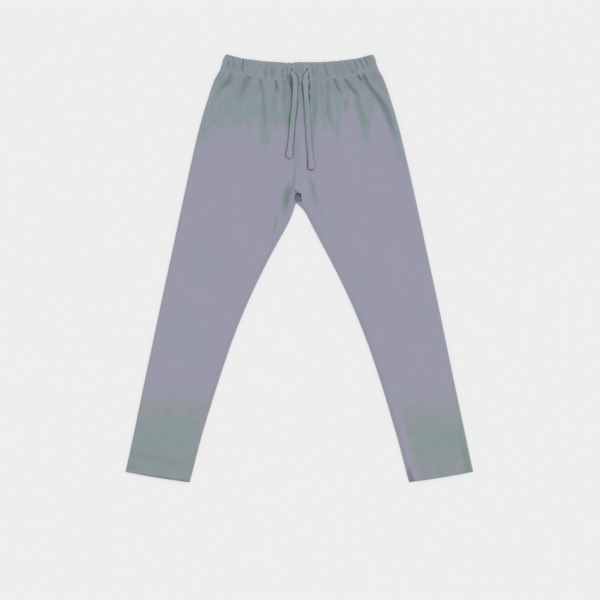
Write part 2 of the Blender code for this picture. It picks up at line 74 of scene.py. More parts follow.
# A leg, by level: the height of a row of the cloth at its inner end
WAIST_SEAM_Y = 299.1 * MM
SIDE_LEVELS = [(-342, -325.4), (104, 112), (299.1, 317.4)]  # (level, height at the outer side)
STRAIGHT_TO = 104 * MM  # rows are straight up to here, and curve more and more above
CROTCH_Y = 120.4 * MM
CURL_HEIGHT = 3.6 * MM
OUTER_EDGE = [
    (317.1, 126.9), (301, 136), (269, 147), (221, 160.8), (173, 172.2), (109, 186.1), (45, 199.7),
    (-51, 220.3), (-147, 240.6), (-243, 260.5), (-325.4, 277),
]
INNER_EDGE = [
    (298.8, 0), (104, 0), (102, 1.4), (100, 3.1), (96, 5.7), (90, 9.2), (77, 15.4), (45, 32.5), (13, 49.9),
    (-51, 80.8), (-115, 107.2), (-179, 129.3), (-243, 148.6), (-342, 175.3),
]
# How much further out than that each leg's outer fold and inseam lie
OUTER_EASE = {
    "right_leg": [
        (-342, 1.4), (-318, 1.15), (-296, 0.6), (-270, 0.1), (-240, -0.1), (60, -0.15), (130, -0.25),
        (250, 0), (290, -0.35), (318, -0.1),
    ],
    "left_leg": [
        (-342, 1.6), (-318, 1.35), (-296, 1), (-270, 0.6), (-235, 0.2), (-190, 0.1), (-110, 0.3),
        (-60, 0.6), (60, 0.6), (110, 0.35), (160, 0), (190, -0.3), (250, -0.35), (285, -0.5), (318, 0),
    ],
}
INNER_EASE = {
    "right_leg": [
        (-342, 0.2), (-300, 0.3), (-275, 0.5), (-240, 0), (-205, -0.5), (-165, -0.75), (-120, -0.45),
        (-60, -0.2), (40, -0.25), (70, -0.5), (90, -0.3), (102, 0), (122, 0),
    ],
    "left_leg": [
        (-342, 0.5), (-280, 0.5), (-235, 0), (-160, 0.1), (-110, 0.3), (-66, 0.4), (-20, 0), (20, -0.1),
        (50, 0.2), (72, 0.5), (90, 0.9), (100, 0.5), (106, 0),
    ],
}
# How far the hem hangs below a straight line, by its share of the way from the inseam to the outer fold
HEM_BOW = [(0, 1), (0.12, 1.4), (0.35, 1.9), (0.65, 1.95), (0.88, 1.5), (1, 1.15)]
HEM_BOW_REACH = 60 * MM
# How far in from its edge a leg's front starts at the inseam, how high it lies, and the roll of its inseam
INSEAM_INSET = [
    (-342, 5), (0, 5.6), (77, 5.2), (96, 5), (100, 5.6), (104, 7.4), (110, 5.2), (118, 4.5), (119.6, 3.4),
    (120.4, 0),
]
LAY = [
    (-342, 4.9), (-323, 4.9), (-314, 4.5), (0, 4.5), (104, 4.9), (208, 5.6), (270, 6.3), (288, 6.8),
    (298.8, 6.3),
]
ROLL_RADIUS = [(-342, 2.4), (-314, 2.2), (60, 2.2), (90, 2), (102, 1.8), (110, 1.35), (298.8, 1.35)]
FOLD_REACH = 2.6 * MM  # how far the fold at the outer side reaches out from the flat cloth
CROTCH_LIFT = 1.7 * MM
CROTCH_LIFT_REACH = 8 * MM
INSEAM_DIP = [(101, 0), (109, 0.97), (120.4, 0.97)]  # the share of its rise that the back leaves out there
CROTCH_LEAN = [
    (77, 0), (90, -1.5), (96, -2.7), (102.5, -4.2), (110, -2.8), (119, -1.7), (128, -0.4), (150, 0),
]
LEAN_REACH = 40 * MM
TOP_RUN_GROWTH = 0.8  # how fast the rolled back reaches over towards the inseam, below the crotch
LEAST_TOP_RUN = 0.05 * MM
FLAT_RUNS = (1 * MM, 8 * MM)  # how much of the back's end stays flat: least, and where it doesn't roll up
BACK_FLAT_SHARE = 0.06  # the back's folds fade over this share of its width at each side
WAVE_SHIFT = 0.3  # the back's soft waves are the front's, shifted by this many metres

# The folds of each leg: a route of (x, y), the depth, the half width where it starts and where it ends, and
# the share of its depth that it starts with
FOLDS = {
    "right_leg": [
        ([(-108.5, 311), (-116.5, 299), (-126, 287), (-135, 273.5), (-141, 262)], 2.1, 2.9, 6, 0.7),
        ([(-106, 307), (-112, 298), (-118, 287), (-122, 274)], 1.7, 3.8, 6, 0.5),
        ([(-82, 307), (-86, 298), (-91, 286), (-99, 272), (-110, 257)], 2.4, 4.2, 8, 0.7),
        ([(-64, 303), (-62, 293), (-60, 283)], 1.3, 1.7, 2, 0.9),
        ([(-62, 299), (-60, 285), (-58, 262), (-56.5, 221), (-56, 183)], 1.9, 2.4, 4.8, 0.6),
        ([(-38.5, 302), (-37.2, 293), (-36.2, 284), (-37, 275)], 3.4, 1.2, 2.8, 0.5),
        ([(-37, 288), (-41, 268), (-41, 245), (-38, 214)], 1.3, 3, 6, 0.3),
        ([(-24, 304), (-23, 292), (-23.5, 262), (-25, 212)], 1.9, 4, 6, 0.8),
        ([(-14, 303), (-13.6, 290), (-14.2, 272), (-17, 240), (-20, 206)], 1.4, 3, 4, 0.6),
        ([(-14, 123), (-9.8, 135), (-7.8, 150), (-7.2, 172)], 1.5, 2.4, 1.2, 0.3),
        ([(-12, 138), (-16, 125), (-18.6, 112), (-20.8, 100), (-25, 86), (-33, 68)], 2.2, 5.4, 6.2, 0.2),
        ([(-14, 136), (-21, 120), (-25, 104), (-28, 88)], 1, 8, 8, 0),
        ([(-35, 86), (-39, 66), (-44.5, 44)], 1, 2, 2.8, 0.3),
        ([(-3, 119), (-5.6, 122), (-9.2, 126.6)], 3.8, 2.2, 1.6, 1),
        ([(-6.4, 119), (-6.8, 112), (-7.6, 101)], 1.1, 1.6, 1.4, 0.6),
        ([(-272, -299), (-250, -302), (-225, -307), (-192, -310), (-150, -314)], 1.2, 7, 9, 0.6),
        ([(-275, -317), (-267, -319), (-255, -321)], 1.6, 4.4, 3.4, 1),
    ],
    "left_leg": [
        ([(21.5, 297), (22.8, 276), (22.8, 246), (21, 196)], 1.5, 4, 4.6, 0.4),
        ([(33, 300), (34.8, 291), (37, 266), (38, 232)], 1.3, 1.6, 4, 0.7),
        ([(45, 301), (45.5, 292), (45, 284)], 1.6, 1.3, 1.6, 0.8),
        ([(45, 290), (44.4, 268), (45, 250), (49.5, 234), (57.5, 216), (62, 192)], 1.9, 2.6, 5.5, 0.5),
        ([(56, 303), (59, 293), (63, 284), (70, 270)], 2.8, 1.5, 2.8, 1),
        ([(76, 272), (73.4, 259), (71, 246), (70, 236)], 1.8, 2, 2.4, 0.3),
        ([(74, 301), (78.6, 293), (85.6, 284), (92.5, 276), (98, 268)], 3.2, 1.6, 3.4, 0.9),
        ([(84, 291), (91, 274), (97, 250), (103.5, 222), (111, 190)], 1.6, 4, 6, 0.3),
        ([(92, 310), (95.5, 305), (100, 300), (105, 296), (109, 293)], 3.4, 1.4, 1.6, 1),
        ([(103, 307), (107, 300), (113, 292)], 1.4, 1.8, 2, 1),
        (
            [(102.5, 308.5), (106, 301.5), (108.4, 294.6), (113.4, 287), (121, 278), (130.2, 265.6),
             (138, 252.8), (147, 228), (153, 206), (157, 192)],
            3.9, 2.3, 4.6, 0.62,
        ),
        ([(120, 276), (134, 250), (147, 222), (157, 186)], 1.2, 4, 6, 0.1),
        ([(116, 314), (121, 308), (129, 300)], 1.3, 1.4, 3, 0.6),
        ([(15, 148), (19, 133), (23.5, 116), (29, 100), (35, 80)], 0.8, 4.8, 6, 0),
        ([(4.4, 118), (5, 110), (7, 99)], 0.7, 1.3, 1.3, 0.6),
        ([(179.5, -341), (176, -331), (171.6, -313)], 3, 4.2, 3.2, 1),
        ([(271, -334), (265.5, -306), (258.5, -272), (252, -243)], 1.4, 6.4, 3.8, 0.9),
    ],
}
RIDGE_SHARE = 0.22  # the cloth stands up on both sides of a fold by this share of its depth
RIDGE_AT = 1.9  # so many half widths away
RIDGE_SPREAD = 0.7
FOLD_COMES_IN = 0.3  # the shares of its length over which a fold deepens and fades
FOLD_FADES = 0.65
BACK_FOLD_SHARE = 0.3  # the back has the other leg's folds with this share of their depth
BACK_GATHER_SHARE = 0.5  # and its own gathers with this share

# Fine gathers just below the waistband, drawn anew for each leg: spacing, depth, half width and length
GATHER_SEEDS = {"right_leg": 11, "left_leg": 5}
GATHER_SPACING = (3.2, 6.6)
GATHER_DEPTH = (0.25, 1.0)
GATHER_HALF_WIDTH = (0.7, 1.5)
GATHER_LENGTH = (5, 26)
GATHER_FLARE = 0.55  # they run outwards as they come near the side
GATHERED_TO = 121
GATHER_WIDENS = 18 * MM  # they are twice as wide so far below the seam

# Broad, shallow waves of cloth that lies loose: (waves per metre across, along, height, phase)
SOFT_WAVES = [
    (9, 3, 0.16, 0.4),
    (14, -5, 0.12, 2.1),
    (5, 8, 0.14, 4),
    (21, 4, 0.06, 1.2),
]

# The twin row of stitching round each hem
HEM_ROWS = (17.2, 20.6)
HEM_GROOVE = 0.11 * MM
HEM_GROOVE_HALF = 0.9 * MM
HEM_RIDGE = (0.4, 1.6)  # the soft ridge between them: its share of that depth, and its half width
# How much the hem's lower edge is in its own shade, by distance from the centre
HEM_SHADE = {
    "right_leg": [(175, 1.0), (188, 1.0), (198, 0.4), (209, 0.9), (248, 0.7), (262, 0.2), (278, 0.0)],
    "left_leg": [(175, 0.5), (190, 0.2), (278, 0.1)],
}
HEM_SHADE_HEIGHT = 4.2 * MM
STITCH_LENGTH = 2.5 * MM
STITCH_PITCH = 3.1 * MM
THREAD = 0.36 * MM
THREAD_SIDES = 6
THREAD_RINGS = 7
THREAD_TAPER = 0.75
STITCH_RISE = 0.1 * MM  # how far the middle of a stitch stands up

# The waistband. Its tables run against the share of its height from the seam to the top.
BAND_SIDE_RISE = 18.3 * MM
BAND_SEAM_Y = 299.15 * MM
BAND_TOP_Y = 329.4 * MM
BAND_TOP_RISE = 12.6 * MM
BAND_WALL = 3.0 * MM
BAND_LAYER_GAP = 0.6 * MM
BAND_HALF_WIDTH = [
    (0, 126.9), (0.11, 125.8), (0.37, 123.4), (0.63, 122), (0.82, 119.9), (0.95, 118.1), (1, 116.5),
]
BAND_SIDE = 126.9 * MM
BAND_TOP_SIDE = 116.5 * MM
BAND_LAY = [(0, 6.1), (0.08, 6.7), (0.25, 7.1), (0.5, 7.3), (0.75, 7.1), (0.92, 6.3), (1, 4.9)]
# Its folds: x at the top and at the seam, depth, half width, and the shares of the height they lie between
BAND_FOLDS = [
    (-112.5, -116, 0.3, 2.2, 0.25, 0.95), (-106.4, -107.6, 0.7, 1.8, 0.4, 1),
    (-97, -96.6, 0.3, 1.4, 0.5, 1), (-89.6, -91.6, 2.1, 1.1, 0.25, 0.95), (-82.5, -83.2, 0.3, 2, 0.1, 0.6),
    (-75.4, -76, 0.6, 1.3, 0.5, 0.9), (-69, -69.4, 0.4, 1.8, 0.05, 0.5), (-61, -62, 0.6, 1.2, 0.4, 0.75),
    (-54.4, -53.8, 0.9, 1.1, 0, 0.5), (-44.6, -43.8, 0.8, 1.2, 0.1, 0.6), (-40, -39.2, 0.7, 1, 0.3, 0.8),
    (-29, -27.2, 1.3, 1.1, 0.1, 0.6), (-19.6, -18.4, 1, 1.2, 0, 0.75), (-11, -10.6, 0.5, 1.5, 0.6, 1),
    (-3.6, -2.6, 0.4, 1.4, 0.3, 0.8), (4.4, 4, 0.4, 1.2, 0.2, 0.7), (17.4, 25.6, 0.9, 1.3, 0.1, 0.9),
    (25, 31, 0.5, 1.2, 0.3, 0.8), (31, 36.4, 0.4, 1.5, 0, 0.6), (38.4, 48, 1.3, 1.2, 0.1, 0.8),
    (47, 53.6, 0.4, 1.2, 0.5, 1), (52.4, 60.4, 0.8, 1.4, 0.1, 0.9), (62.6, 70.8, 0.1, 1.4, 0, 0.7),
    (73, 83, 1, 1.2, 0.5, 1), (76.6, 87.6, 0.5, 1.8, 0.1, 0.6), (86.6, 95.4, 1.3, 1.1, 0.4, 1),
    (94.4, 106.6, 1.6, 1.1, 0.3, 1), (101.8, 114.6, 1.2, 1.3, 0.35, 1), (109.6, 121, 0.6, 2, 0.3, 0.95),
]
# The top edge is a little uneven: (length, height, phase) of its waves in metres, and a small notch
TOP_SCALLOPS = [
    (0.0091, 0.00014, 0.3), (0.0137, 0.00016, 2.2), (0.0063, 0.0001, 4.1), (0.047, 0.00016, 1.1),
]
TOP_EASE = [
    (-127, 0.2), (-112, 0.45), (-104, 0.6), (-94, 0), (-84, 0.1), (-77, 0.95), (-67, 0.85), (-57, 0.25),
    (-42, 0), (-30, -0.15), (-20, -0.65), (-9, -0.3), (0, 0.1), (40, 0.1), (58, 0.25), (67, 0.6), (77, 0.4),
    (86, 0.1), (95, -0.55), (104, -0.1), (127, 0),
]
TOP_NOTCH = 0.9 * MM
TOP_NOTCH_X = -12.6 * MM
TOP_NOTCH_HALF = 2.0 * MM
BAND_TOP_ROUND = 1.5 * MM
MOST_BAND_DEPTH = 2.3 * MM
BAND_FOLD_ENDS = (0.12, 0.2)  # a fold fades in from so far before its share of the height, over so much
BAND_RIDGES = (2, 0.8)  # the ridges beside it: how many half widths away, and their spread
BAND_SIDE_FADE = 0.04
BAND_BACK_SHARE = 0.6  # the back has the front's folds with this share of their depth
BAND_PUCKER = 0.5 * MM  # the fine unevenness of cloth stretched over elastic
BAND_SEED = 3
# Its broader dents: x, share of the height, half width, half height as a share, part of BAND_PUCKER deep
BAND_DENTS = [
    (-114.5, 0.44, 6.5, 0.22, 1.3), (-104, 0.42, 2.2, 0.30, 1.2), (-95, 0.34, 3.6, 0.20, 1.4),
    (-57, 0.50, 2.8, 0.24, 1.2), (-42, 0.32, 4.4, 0.26, 1.6), (-18, 0.14, 4.6, 0.18, 1.8),
    (40, 0.55, 2, 0.30, 1.3), (60, 0.62, 2.4, 0.30, 1.2), (84, 0.24, 7.5, 0.16, 1.8),
    (108, 0.72, 3.4, 0.28, 1.4),
]

# Its two buttonholes
BUTTONHOLE_X = 12.3 * MM
BUTTONHOLE_Y = 315.6 * MM
BUTTONHOLE_HALF = (0.8 * MM, 3.7 * MM)
BUTTONHOLE_BEVEL = 0.6 * MM
BUTTONHOLE_DEPTH = 2.2 * MM
CALM = (0.7, 5 * MM)  # near them the band lies flatter, by this share
SATIN_PITCH = 0.42 * MM
SATIN_LENGTH = 1.5 * MM
SATIN_THREAD = 0.36 * MM
SATIN_RISE = 0.12 * MM
SATIN_SINKS = 0.35  # they follow this share of the slit's depth

# The tie ends: the middle line of each, from its buttonhole to its tip
TIE_ROUTES = {
    "right_tie": [
        (-12.3, 313.6), (-11.3, 311.4), (-9.3, 308.2), (-7.6, 304.4), (-6.8, 299.5),
        (-6.6, 292), (-6.8, 282), (-7.6, 267), (-9.1, 252.5), (-10.7, 238),
        (-12, 222), (-13.5, 205), (-15.2, 190), (-16.4, 176.3),
    ],
    "left_tie": [
        (12.3, 313.6), (11.6, 311.2), (10.5, 307.5), (9.9, 303), (10.1, 296),
        (10.3, 288), (10.6, 280), (11.4, 267), (12.3, 253), (13.4, 238),
        (14.6, 219.5), (15.6, 204), (16.9, 189), (18.4, 173), (19.9, 158.3),
    ],
}
TIE_CLEARANCE = 0.3 * MM
TIE_STATION = 1.1 * MM
TIE_HALF_REACH = 5.5 * MM
TIE_ROOT = 1.3 * MM
# It comes straight up out of the buttonhole: (distance along the route, height over the band's face)
TIE_RISES = [(0, 0.5), (0.5, 1.6), (1.6, 2.1)]
TIE_SETTLE = 4 * MM
# (distance from the buttonhole, width, thickness), and the same measured back from the tip
TIE_START = [(0, 1.7, 2.3), (1.5, 2.6, 2.3), (3.5, 4.6, 2.5), (7, 7, 2.7), (12, 7.8, 2.7)]
TIE_TIP = [(0, 7.6, 1.4), (1, 9.8, 2.4), (4, 10.4, 2.9), (9, 9.2, 2.8), (16, 7.8, 2.7)]
TIE_SQUARENESS = (0.8, 0.85)
TIE_WAVERS = (0.035, 0.06)  # its width and thickness waver by this share of them
TIE_PHASES = {"right_tie": 0.7, "left_tie": 2.9}
# Where a tie spreads a little: distance from the buttonhole, half length, and how much wider
TIE_SPREADS = {"right_tie": (58, 10, 0.3), "left_tie": (20, 6, 2.0)}
# The cloth sinks beside a tie, to its right at -1 and to its left at 1: rows of (y, depth, half width)
TIE_FURROWS = [
    ("right_tie", -1, [
        (311, 0.3, 0.9), (306, 2, 1.6), (299, 2.8, 1.9), (289, 2.6, 1.8), (280, 2, 1.2), (262, 1.5, 1),
        (252, 1.5, 1), (243, 2.2, 1.3), (232, 1.8, 1.2), (221, 0.8, 0.9), (200, 0.7, 0.9), (191, 1.3, 1.1),
        (181, 1.6, 1.2), (172, 0, 1),
    ]),
    ("right_tie", 1, [
        (311, 0.8, 0.8), (305, 2.2, 1.1), (298, 1.1, 0.9), (290, 0.5, 0.9), (275, 0.5, 0.9), (262, 1.6, 0.9),
        (250, 1.8, 0.9), (225, 1.6, 0.9), (207, 1.6, 0.9), (193, 1.9, 0.9), (180, 1.3, 0.9), (173, 0, 0.9),
    ]),
    ("left_tie", -1, [
        (314, 1.9, 1), (311, 2.4, 1.1), (307.5, 1.6, 0.9), (303, 0.4, 0.8), (299, 0.6, 0.9), (294, 2.1, 1.1),
        (284, 2.2, 1.3), (272, 1.3, 1.1), (262, 0.8, 0.9), (240, 0.7, 0.8), (200, 0.9, 0.8), (186, 1.4, 0.9),
        (171, 2.2, 1.1), (161, 2.9, 1.4), (154, 0, 1),
    ]),
    ("left_tie", 1, [
        (312, 1, 0.8), (306, 1.8, 1), (300, 0.4, 0.8), (296, 0.8, 0.8), (291, 2.8, 1.6), (286, 2.6, 1.5),
        (281, 1.2, 0.9), (276, 2.7, 1.5), (268, 2.2, 1.2), (262, 0.8, 0.8), (254, 0.4, 0.9), (200, 0.4, 0.9),
        (160, 0.3, 0.9), (154, 0, 0.9),
    ]),
]
# The pocket where the gathers open beside the right tie, and the dents under the two tips: each as rows of
# (x, y, depth, half width)
DENTS = [
    [(-20, 309, 0.6, 1.4), (-16.8, 306.5, 2.6, 2.2), (-15, 301, 3, 2.2), (-13.4, 292, 2.2, 1.4),
     (-12.6, 283, 0.5, 1)],
    [(-21.5, 178, 0.6, 0.9), (-19.5, 175.6, 1.2, 1), (-16.4, 174.9, 2.2, 1.2), (-13.2, 175.6, 1.2, 1),
     (-11.6, 178, 0.5, 0.9)],
    [(14.4, 159, 1.6, 1), (16.4, 157.2, 2.2, 1.1), (19.8, 156.6, 2.3, 1.2), (23, 157.6, 1.2, 1),
     (24.9, 160, 0.4, 0.9)],
]
FURROWED = (32 * MM, 145 * MM, 322 * MM)  # all of it lies within this x and between these heights
FURROW_OFFSET = 0.35 * MM  # from the tie's edge to the middle of the furrow
TIE_TIP_ROW = 3.2 * MM  # the row of stitching that closes its end
TIE_TIP_DENT = (0.28, 0.7 * MM)  # the share of the thickness that the row takes up, and its half width
TIE_END_STITCHES = (-0.7, -0.42, -0.14, 0.14, 0.42, 0.7)  # where they lie, as shares of the half width
TIE_END_STITCH = 1.5 * MM
TIE_LINE = 0.22 * MM  # the depth of the line where the tube's two folded edges press through
TIE_LINE_AT = (0.52, 0.12)  # and its place and half width, as shares of the half width
TIE_WINDOW = 8  # it lies on the highest cloth among so many points before and behind
TIE_SIDES = 30

# Finishes, as linear colour
JERSEY_COLOUR = (0.329, 0.3275, 0.4155)
SHADE_COLOUR = (0.253, 0.321, 0.328)  # the cooler tone near the waistband and the hems
GREY_COLOUR = (0.331, 0.3275, 0.329)  # the warmer one in blotches where the shins turn cooler
THREAD_COLOUR = (0.325, 0.342, 0.405)
PAINTED_SHADE_SHARE = 0.5  # how much painted shade deepens the colour at its fullest, as deep in the hollow at the crotch
FOLD_SHADE_SHARE = 0.5  # painted shade at the bottom of a fold, as a part of that
FURROW_SHADE_SHARE = 0.95  # and painted shade at the bottom of a furrow beside a tie
# a fold or furrow this deep has its full painted shade
FULL_SHADE_DEPTH = 2.6 * MM
SEAM_SHADE = 0.18  # and painted shade just below the waistband's seam
SEAM_SHADE_HEIGHT = 34 * MM
BAND_SHADE = 0.09  # and over the waistband: partly its deeper colour, partly painted shade that leaves the ridge at its seam lighter, as a painted highlight
# How far down the cooler tone of the waist reaches, as (x, y): in tongues along the folds
SHADE_REACH = [
    (-190, 192), (-158, 184), (-140, 205), (-120, 206), (-101, 209), (-80, 204), (-68, 226), (-59, 180),
    (-50, 174), (-43, 208), (-23, 207), (-15, 196), (-2, 232), (10, 210), (19, 168), (29, 218), (42, 210),
    (50, 214), (56, 224), (62, 188), (69, 240), (81, 248), (90, 232), (97, 206), (108, 182), (117, 230),
    (124, 242), (142, 207), (162, 156), (176, 150),
]
WAIST_TONE = (0.44, 0.82)  # its share at the seam and a little below
WAIST_TONE_RISE = 13 * MM  # the way between the two
SHADE_FADE = 36 * MM
BAND_TONES = (0.15, 0.6)  # and on the waistband, at its seam and over the rest
# Strips along a leg's edge: how far out from it they change, and over how far
WAIST_EDGE = (-8, 7)  # the waist's tone weakens near the outer edge, by WAIST_EDGE_SHARE
WAIST_EDGE_SHARE = 0.65
SHIN_SHADE = {"right_leg": (-184, 66), "left_leg": (-200, 66)}  # where the shins' starts, and its fade
INNER_STRIP = (13, 12)  # the left leg keeps a plain strip beside its inseam
OUTER_STRIP = (-9, 6)  # and a cooler one at its outer edge, below OUTER_STRIP_TOP
OUTER_STRIP_TOP = (-150 * MM, 60 * MM)
CALF_STRIP = (6, 7)  # the right leg has such a plain strip only part of the way, about CALF_STRIP_MIDDLE
CALF_STRIP_MIDDLE = (-243 * MM, 38 * MM)
STRIP_SHARE = 0.8  # how strong those two are
HEM_PLAIN = (0.35, 15 * MM, 4.5 * MM)  # the left hem is plainer between its stitching and its edge
SHIN_DEEPER = {"right_leg": 0.04, "left_leg": 0.015}  # all over, down to the hem
SHIN_DEEPER_HEIGHT = 70 * MM
INSEAM_SHADE = {"right_leg": 0.02, "left_leg": 0.10}  # beside the inseam, where the cloth turns under
INSEAM_SHADE_TOP = (-40 * MM, 30 * MM)  # where it starts, and its fade
SHIN_TONE = (0.84, 0.18)  # its share all over the shins, and how much more half way down them
SHIN_MIDDLE = (-264 * MM, 40 * MM)
# Soft streaks of it round the crotch, as rows like those of FOLDS
TONE_STREAKS = [
    ([(-16, 138), (-21, 120), (-25, 100), (-31, 80)], 1.0, 6.0, 6.4, 0.5),
    ([(-35, 86), (-39.5, 66), (-46, 42)], 0.8, 3.0, 3.6, 0.6),
    ([(-4, 216), (-5, 190), (-6, 150), (-9, 126)], 0.8, 5.0, 6.0, 0.3),
    ([(17, 142), (23, 120), (30, 98), (36, 80)], 1.0, 4.0, 5.0, 0.5),
]
STREAKED = (60 * MM, 30 * MM, 240 * MM)  # they all lie within this x and between these heights
FLOOR_COLOUR = (0.86, 0.86, 0.86)
FLOOR_GLOW = 0.66  # the floor is a lit table: this share of its light is its own
FLOOR_HALF = 6.0
WALE = 0.72 * MM  # from one column of the knit to the next
COURSE = 0.58 * MM  # and from one row to the next

# Camera and light
VIEW_WIDTH = 0.96  # what the picture takes in, in metres
VIEW_CENTRE = (1.1 * MM, -51.2 * MM)
CAMERA_HEIGHT = 3.0
SENSOR = 36
LENS = SENSOR * CAMERA_HEIGHT / VIEW_WIDTH
GARMENT_MIDDLE_Z = 5 * MM
SKY_STRENGTH = 0.76
SUN_STRENGTH = 0.845
SUN_ANGLE = math.radians(30)
SUN_DIRECTION = (0.50, 0.40, 1.05)


def smooth_curve(table, unit=MM):
    """A function of position through a table's (position, value) rows, smooth and without overshoot."""
    at, value = np.array(sorted(table), float).T
    slope = np.diff(value) / np.diff(at)
    tangent = np.concatenate([slope[:1], np.zeros(len(at) - 2), slope[-1:]])
    for i in range(1, len(at) - 1):
        if slope[i - 1] * slope[i] > 0:
            tangent[i] = 2 * slope[i - 1] * slope[i] / (slope[i - 1] + slope[i])

    def value_at(position):
        p = np.clip(np.asarray(position, float), at[0] * MM, at[-1] * MM) / MM
        i = np.clip(np.searchsorted(at, p) - 1, 0, len(at) - 2)
        width = at[i + 1] - at[i]
        t = (p - at[i]) / width
        ends = (1 + 2 * t) * (1 - t) ** 2 * value[i] + t * t * (3 - 2 * t) * value[i + 1]
        turns = t * (1 - t) ** 2 * tangent[i] - t * t * (1 - t) * tangent[i + 1]
        return (ends + turns * width) * unit

    return value_at


def ramp(x):
    """0 below 0, 1 above 1, smooth between."""
    t = np.clip(x, 0, 1)
    return t * t * (3 - 2 * t)


def hill(distance, reach):
    """1 at no distance, falling off smoothly on both sides."""
    return np.exp(-((distance / reach) ** 2))


def unit(vectors):
    return vectors / np.linalg.norm(vectors, axis=-1, keepdims=True)


def distances(points):
    """How far along a line of points each of them lies."""
    return np.concatenate([[0], np.cumsum(np.linalg.norm(np.diff(points, axis=0), axis=1))])


def points_at(at, along, line):
    """The point, or points, at a distance along a line."""
    return np.stack([np.interp(at, along, column) for column in line.T], axis=-1)


def within(x, y, bounds):
    """Whether (x, y) is this near the middle and between these heights."""
    most_x, low, high = bounds
    return (np.abs(x) < most_x) & (y > low) & (y < high)


def by_share(table):
    """smooth_curve for a table against a share from 0 to 1."""
    curve = smooth_curve(table)
    return lambda share: curve(np.asarray(share) * MM)


outer_x = smooth_curve(OUTER_EDGE)
inner_x = smooth_curve(INNER_EDGE)
inseam_inset = smooth_curve(INSEAM_INSET)
lay = smooth_curve(LAY)
roll_radius = smooth_curve(ROLL_RADIUS)
inseam_dip = smooth_curve(INSEAM_DIP, unit=1)
crotch_lean = smooth_curve(CROTCH_LEAN)
shade_reach = smooth_curve(SHADE_REACH)
outer_ease = {name: smooth_curve(rows) for name, rows in OUTER_EASE.items()}
inner_ease = {name: smooth_curve(rows) for name, rows in INNER_EASE.items()}
top_ease = smooth_curve(TOP_EASE)
band_half_width = by_share(BAND_HALF_WIDTH)
band_lay = by_share(BAND_LAY)
hem_bow = by_share(HEM_BOW)


def route_points(route, spacing):
    """Points at even spacing along a smooth curve through a route's (x, y) rows, in metres."""
    corners = np.array(route, float)
    along = distances(corners)
    at = np.linspace(0, along[-1], max(3, round(along[-1] * MM / spacing) + 1)) * MM
    curves = [smooth_curve(list(zip(along, corners[:, k]))) for k in (0, 1)]
    return np.stack([curve(at) for curve in curves], axis=1)


def edge_drop(distance, radius):
    """How far an edge of this radius has rounded over, at a distance in from it."""
    inside = np.clip(distance, 0, radius)
    return radius - np.sqrt(radius**2 - (radius - inside) ** 2)


# ---------------------------------------------------------------- meshes


def new_object(name, data):
    """An object of this data, in the scene."""
    made = bpy.data.objects.new(name, data)
    bpy.context.scene.collection.objects.link(made)
    return made


def new_mesh(name, points, faces, material):
    mesh = bpy.data.meshes.new(name)
    mesh.from_pydata(points, [], faces)
    mesh.materials.append(material)
    return mesh


def new_piece(name, points, faces, material, attributes=()):
    """A smooth shaded object of these points and quads, turned so that its faces point outwards."""
    volume = 0
    for half in ([0, 1, 2], [0, 2, 3]):
        corners = points[faces[:, half]]
        volume += np.einsum("ij,ij->i", corners[:, 0], np.cross(corners[:, 1], corners[:, 2])).sum()
    if volume < 0:
        faces = faces[:, ::-1]
    mesh = new_mesh(name, points.tolist(), faces.tolist(), material)
    for key, values in attributes:
        kind, part = ("FLOAT", "value") if values.ndim == 1 else ("FLOAT_VECTOR", "vector")
        mesh.attributes.new(key, kind, "POINT").data.foreach_set(part, values.astype(np.float32).ravel())
    mesh.shade_smooth()
    return new_object(name, mesh)


def grid_faces(rows, columns, closed=False):
    """The quads of a grid of points numbered row by row. closed joins its last column to its first."""
    index = np.arange(rows * columns).reshape(rows, columns)
    if closed:
        index = np.concatenate([index, index[:, :1]], axis=1)
    quads = [index[:-1, :-1], index[:-1, 1:], index[1:, 1:], index[1:, :-1]]
    return np.stack(quads, axis=-1).reshape(-1, 4)


def wall_faces(rows, columns, closed=False):
    """The quads of a wall between an outer grid and an inner grid of the same size, rims included."""
    count = rows * columns
    outer = grid_faces(rows, columns, closed)
    made = [outer, outer[:, ::-1] + count]
    index = np.arange(count).reshape(rows, columns)
    rims = [index[0][::-1], index[-1]]
    if closed:
        rims = [np.append(rim, rim[0]) for rim in rims]
    else:
        rims += [index[:, 0], index[::-1, -1]]
    for rim in rims:
        made.append(np.stack([rim[:-1], rim[1:], rim[1:] + count, rim[:-1] + count], axis=-1))
    return np.concatenate(made)


def ring_shape(sides, squareness=(1, 1)):
    """How far across and how far up each corner of a ring lies, as shares of its half sizes."""
    angles = np.arange(sides) / sides * 2 * math.pi
    parts = zip((np.cos(angles), np.sin(angles)), squareness)
    return [np.sign(part) * np.abs(part) ** power for part, power in parts]


def tube_points(centres, across, up, wide, high, shape):
    """Rings of a tube: wide and high are its half sizes at each centre."""
    flat, tall = shape
    sideways = (wide[..., None] * flat)[..., None] * across[..., None, :]
    return centres[..., None, :] + sideways + (high[..., None] * tall)[..., None] * up[..., None, :]


def capped_tube_faces(rows, sides):
    """A closed tube's quads, with a row of quads over each end."""
    k = np.arange(sides // 2 - 1)
    cap = np.stack([k, k + 1, sides - k - 2, sides - k - 1], axis=1)
    return np.concatenate([grid_faces(rows, sides, closed=True), cap[:, ::-1], cap + (rows - 1) * sides])


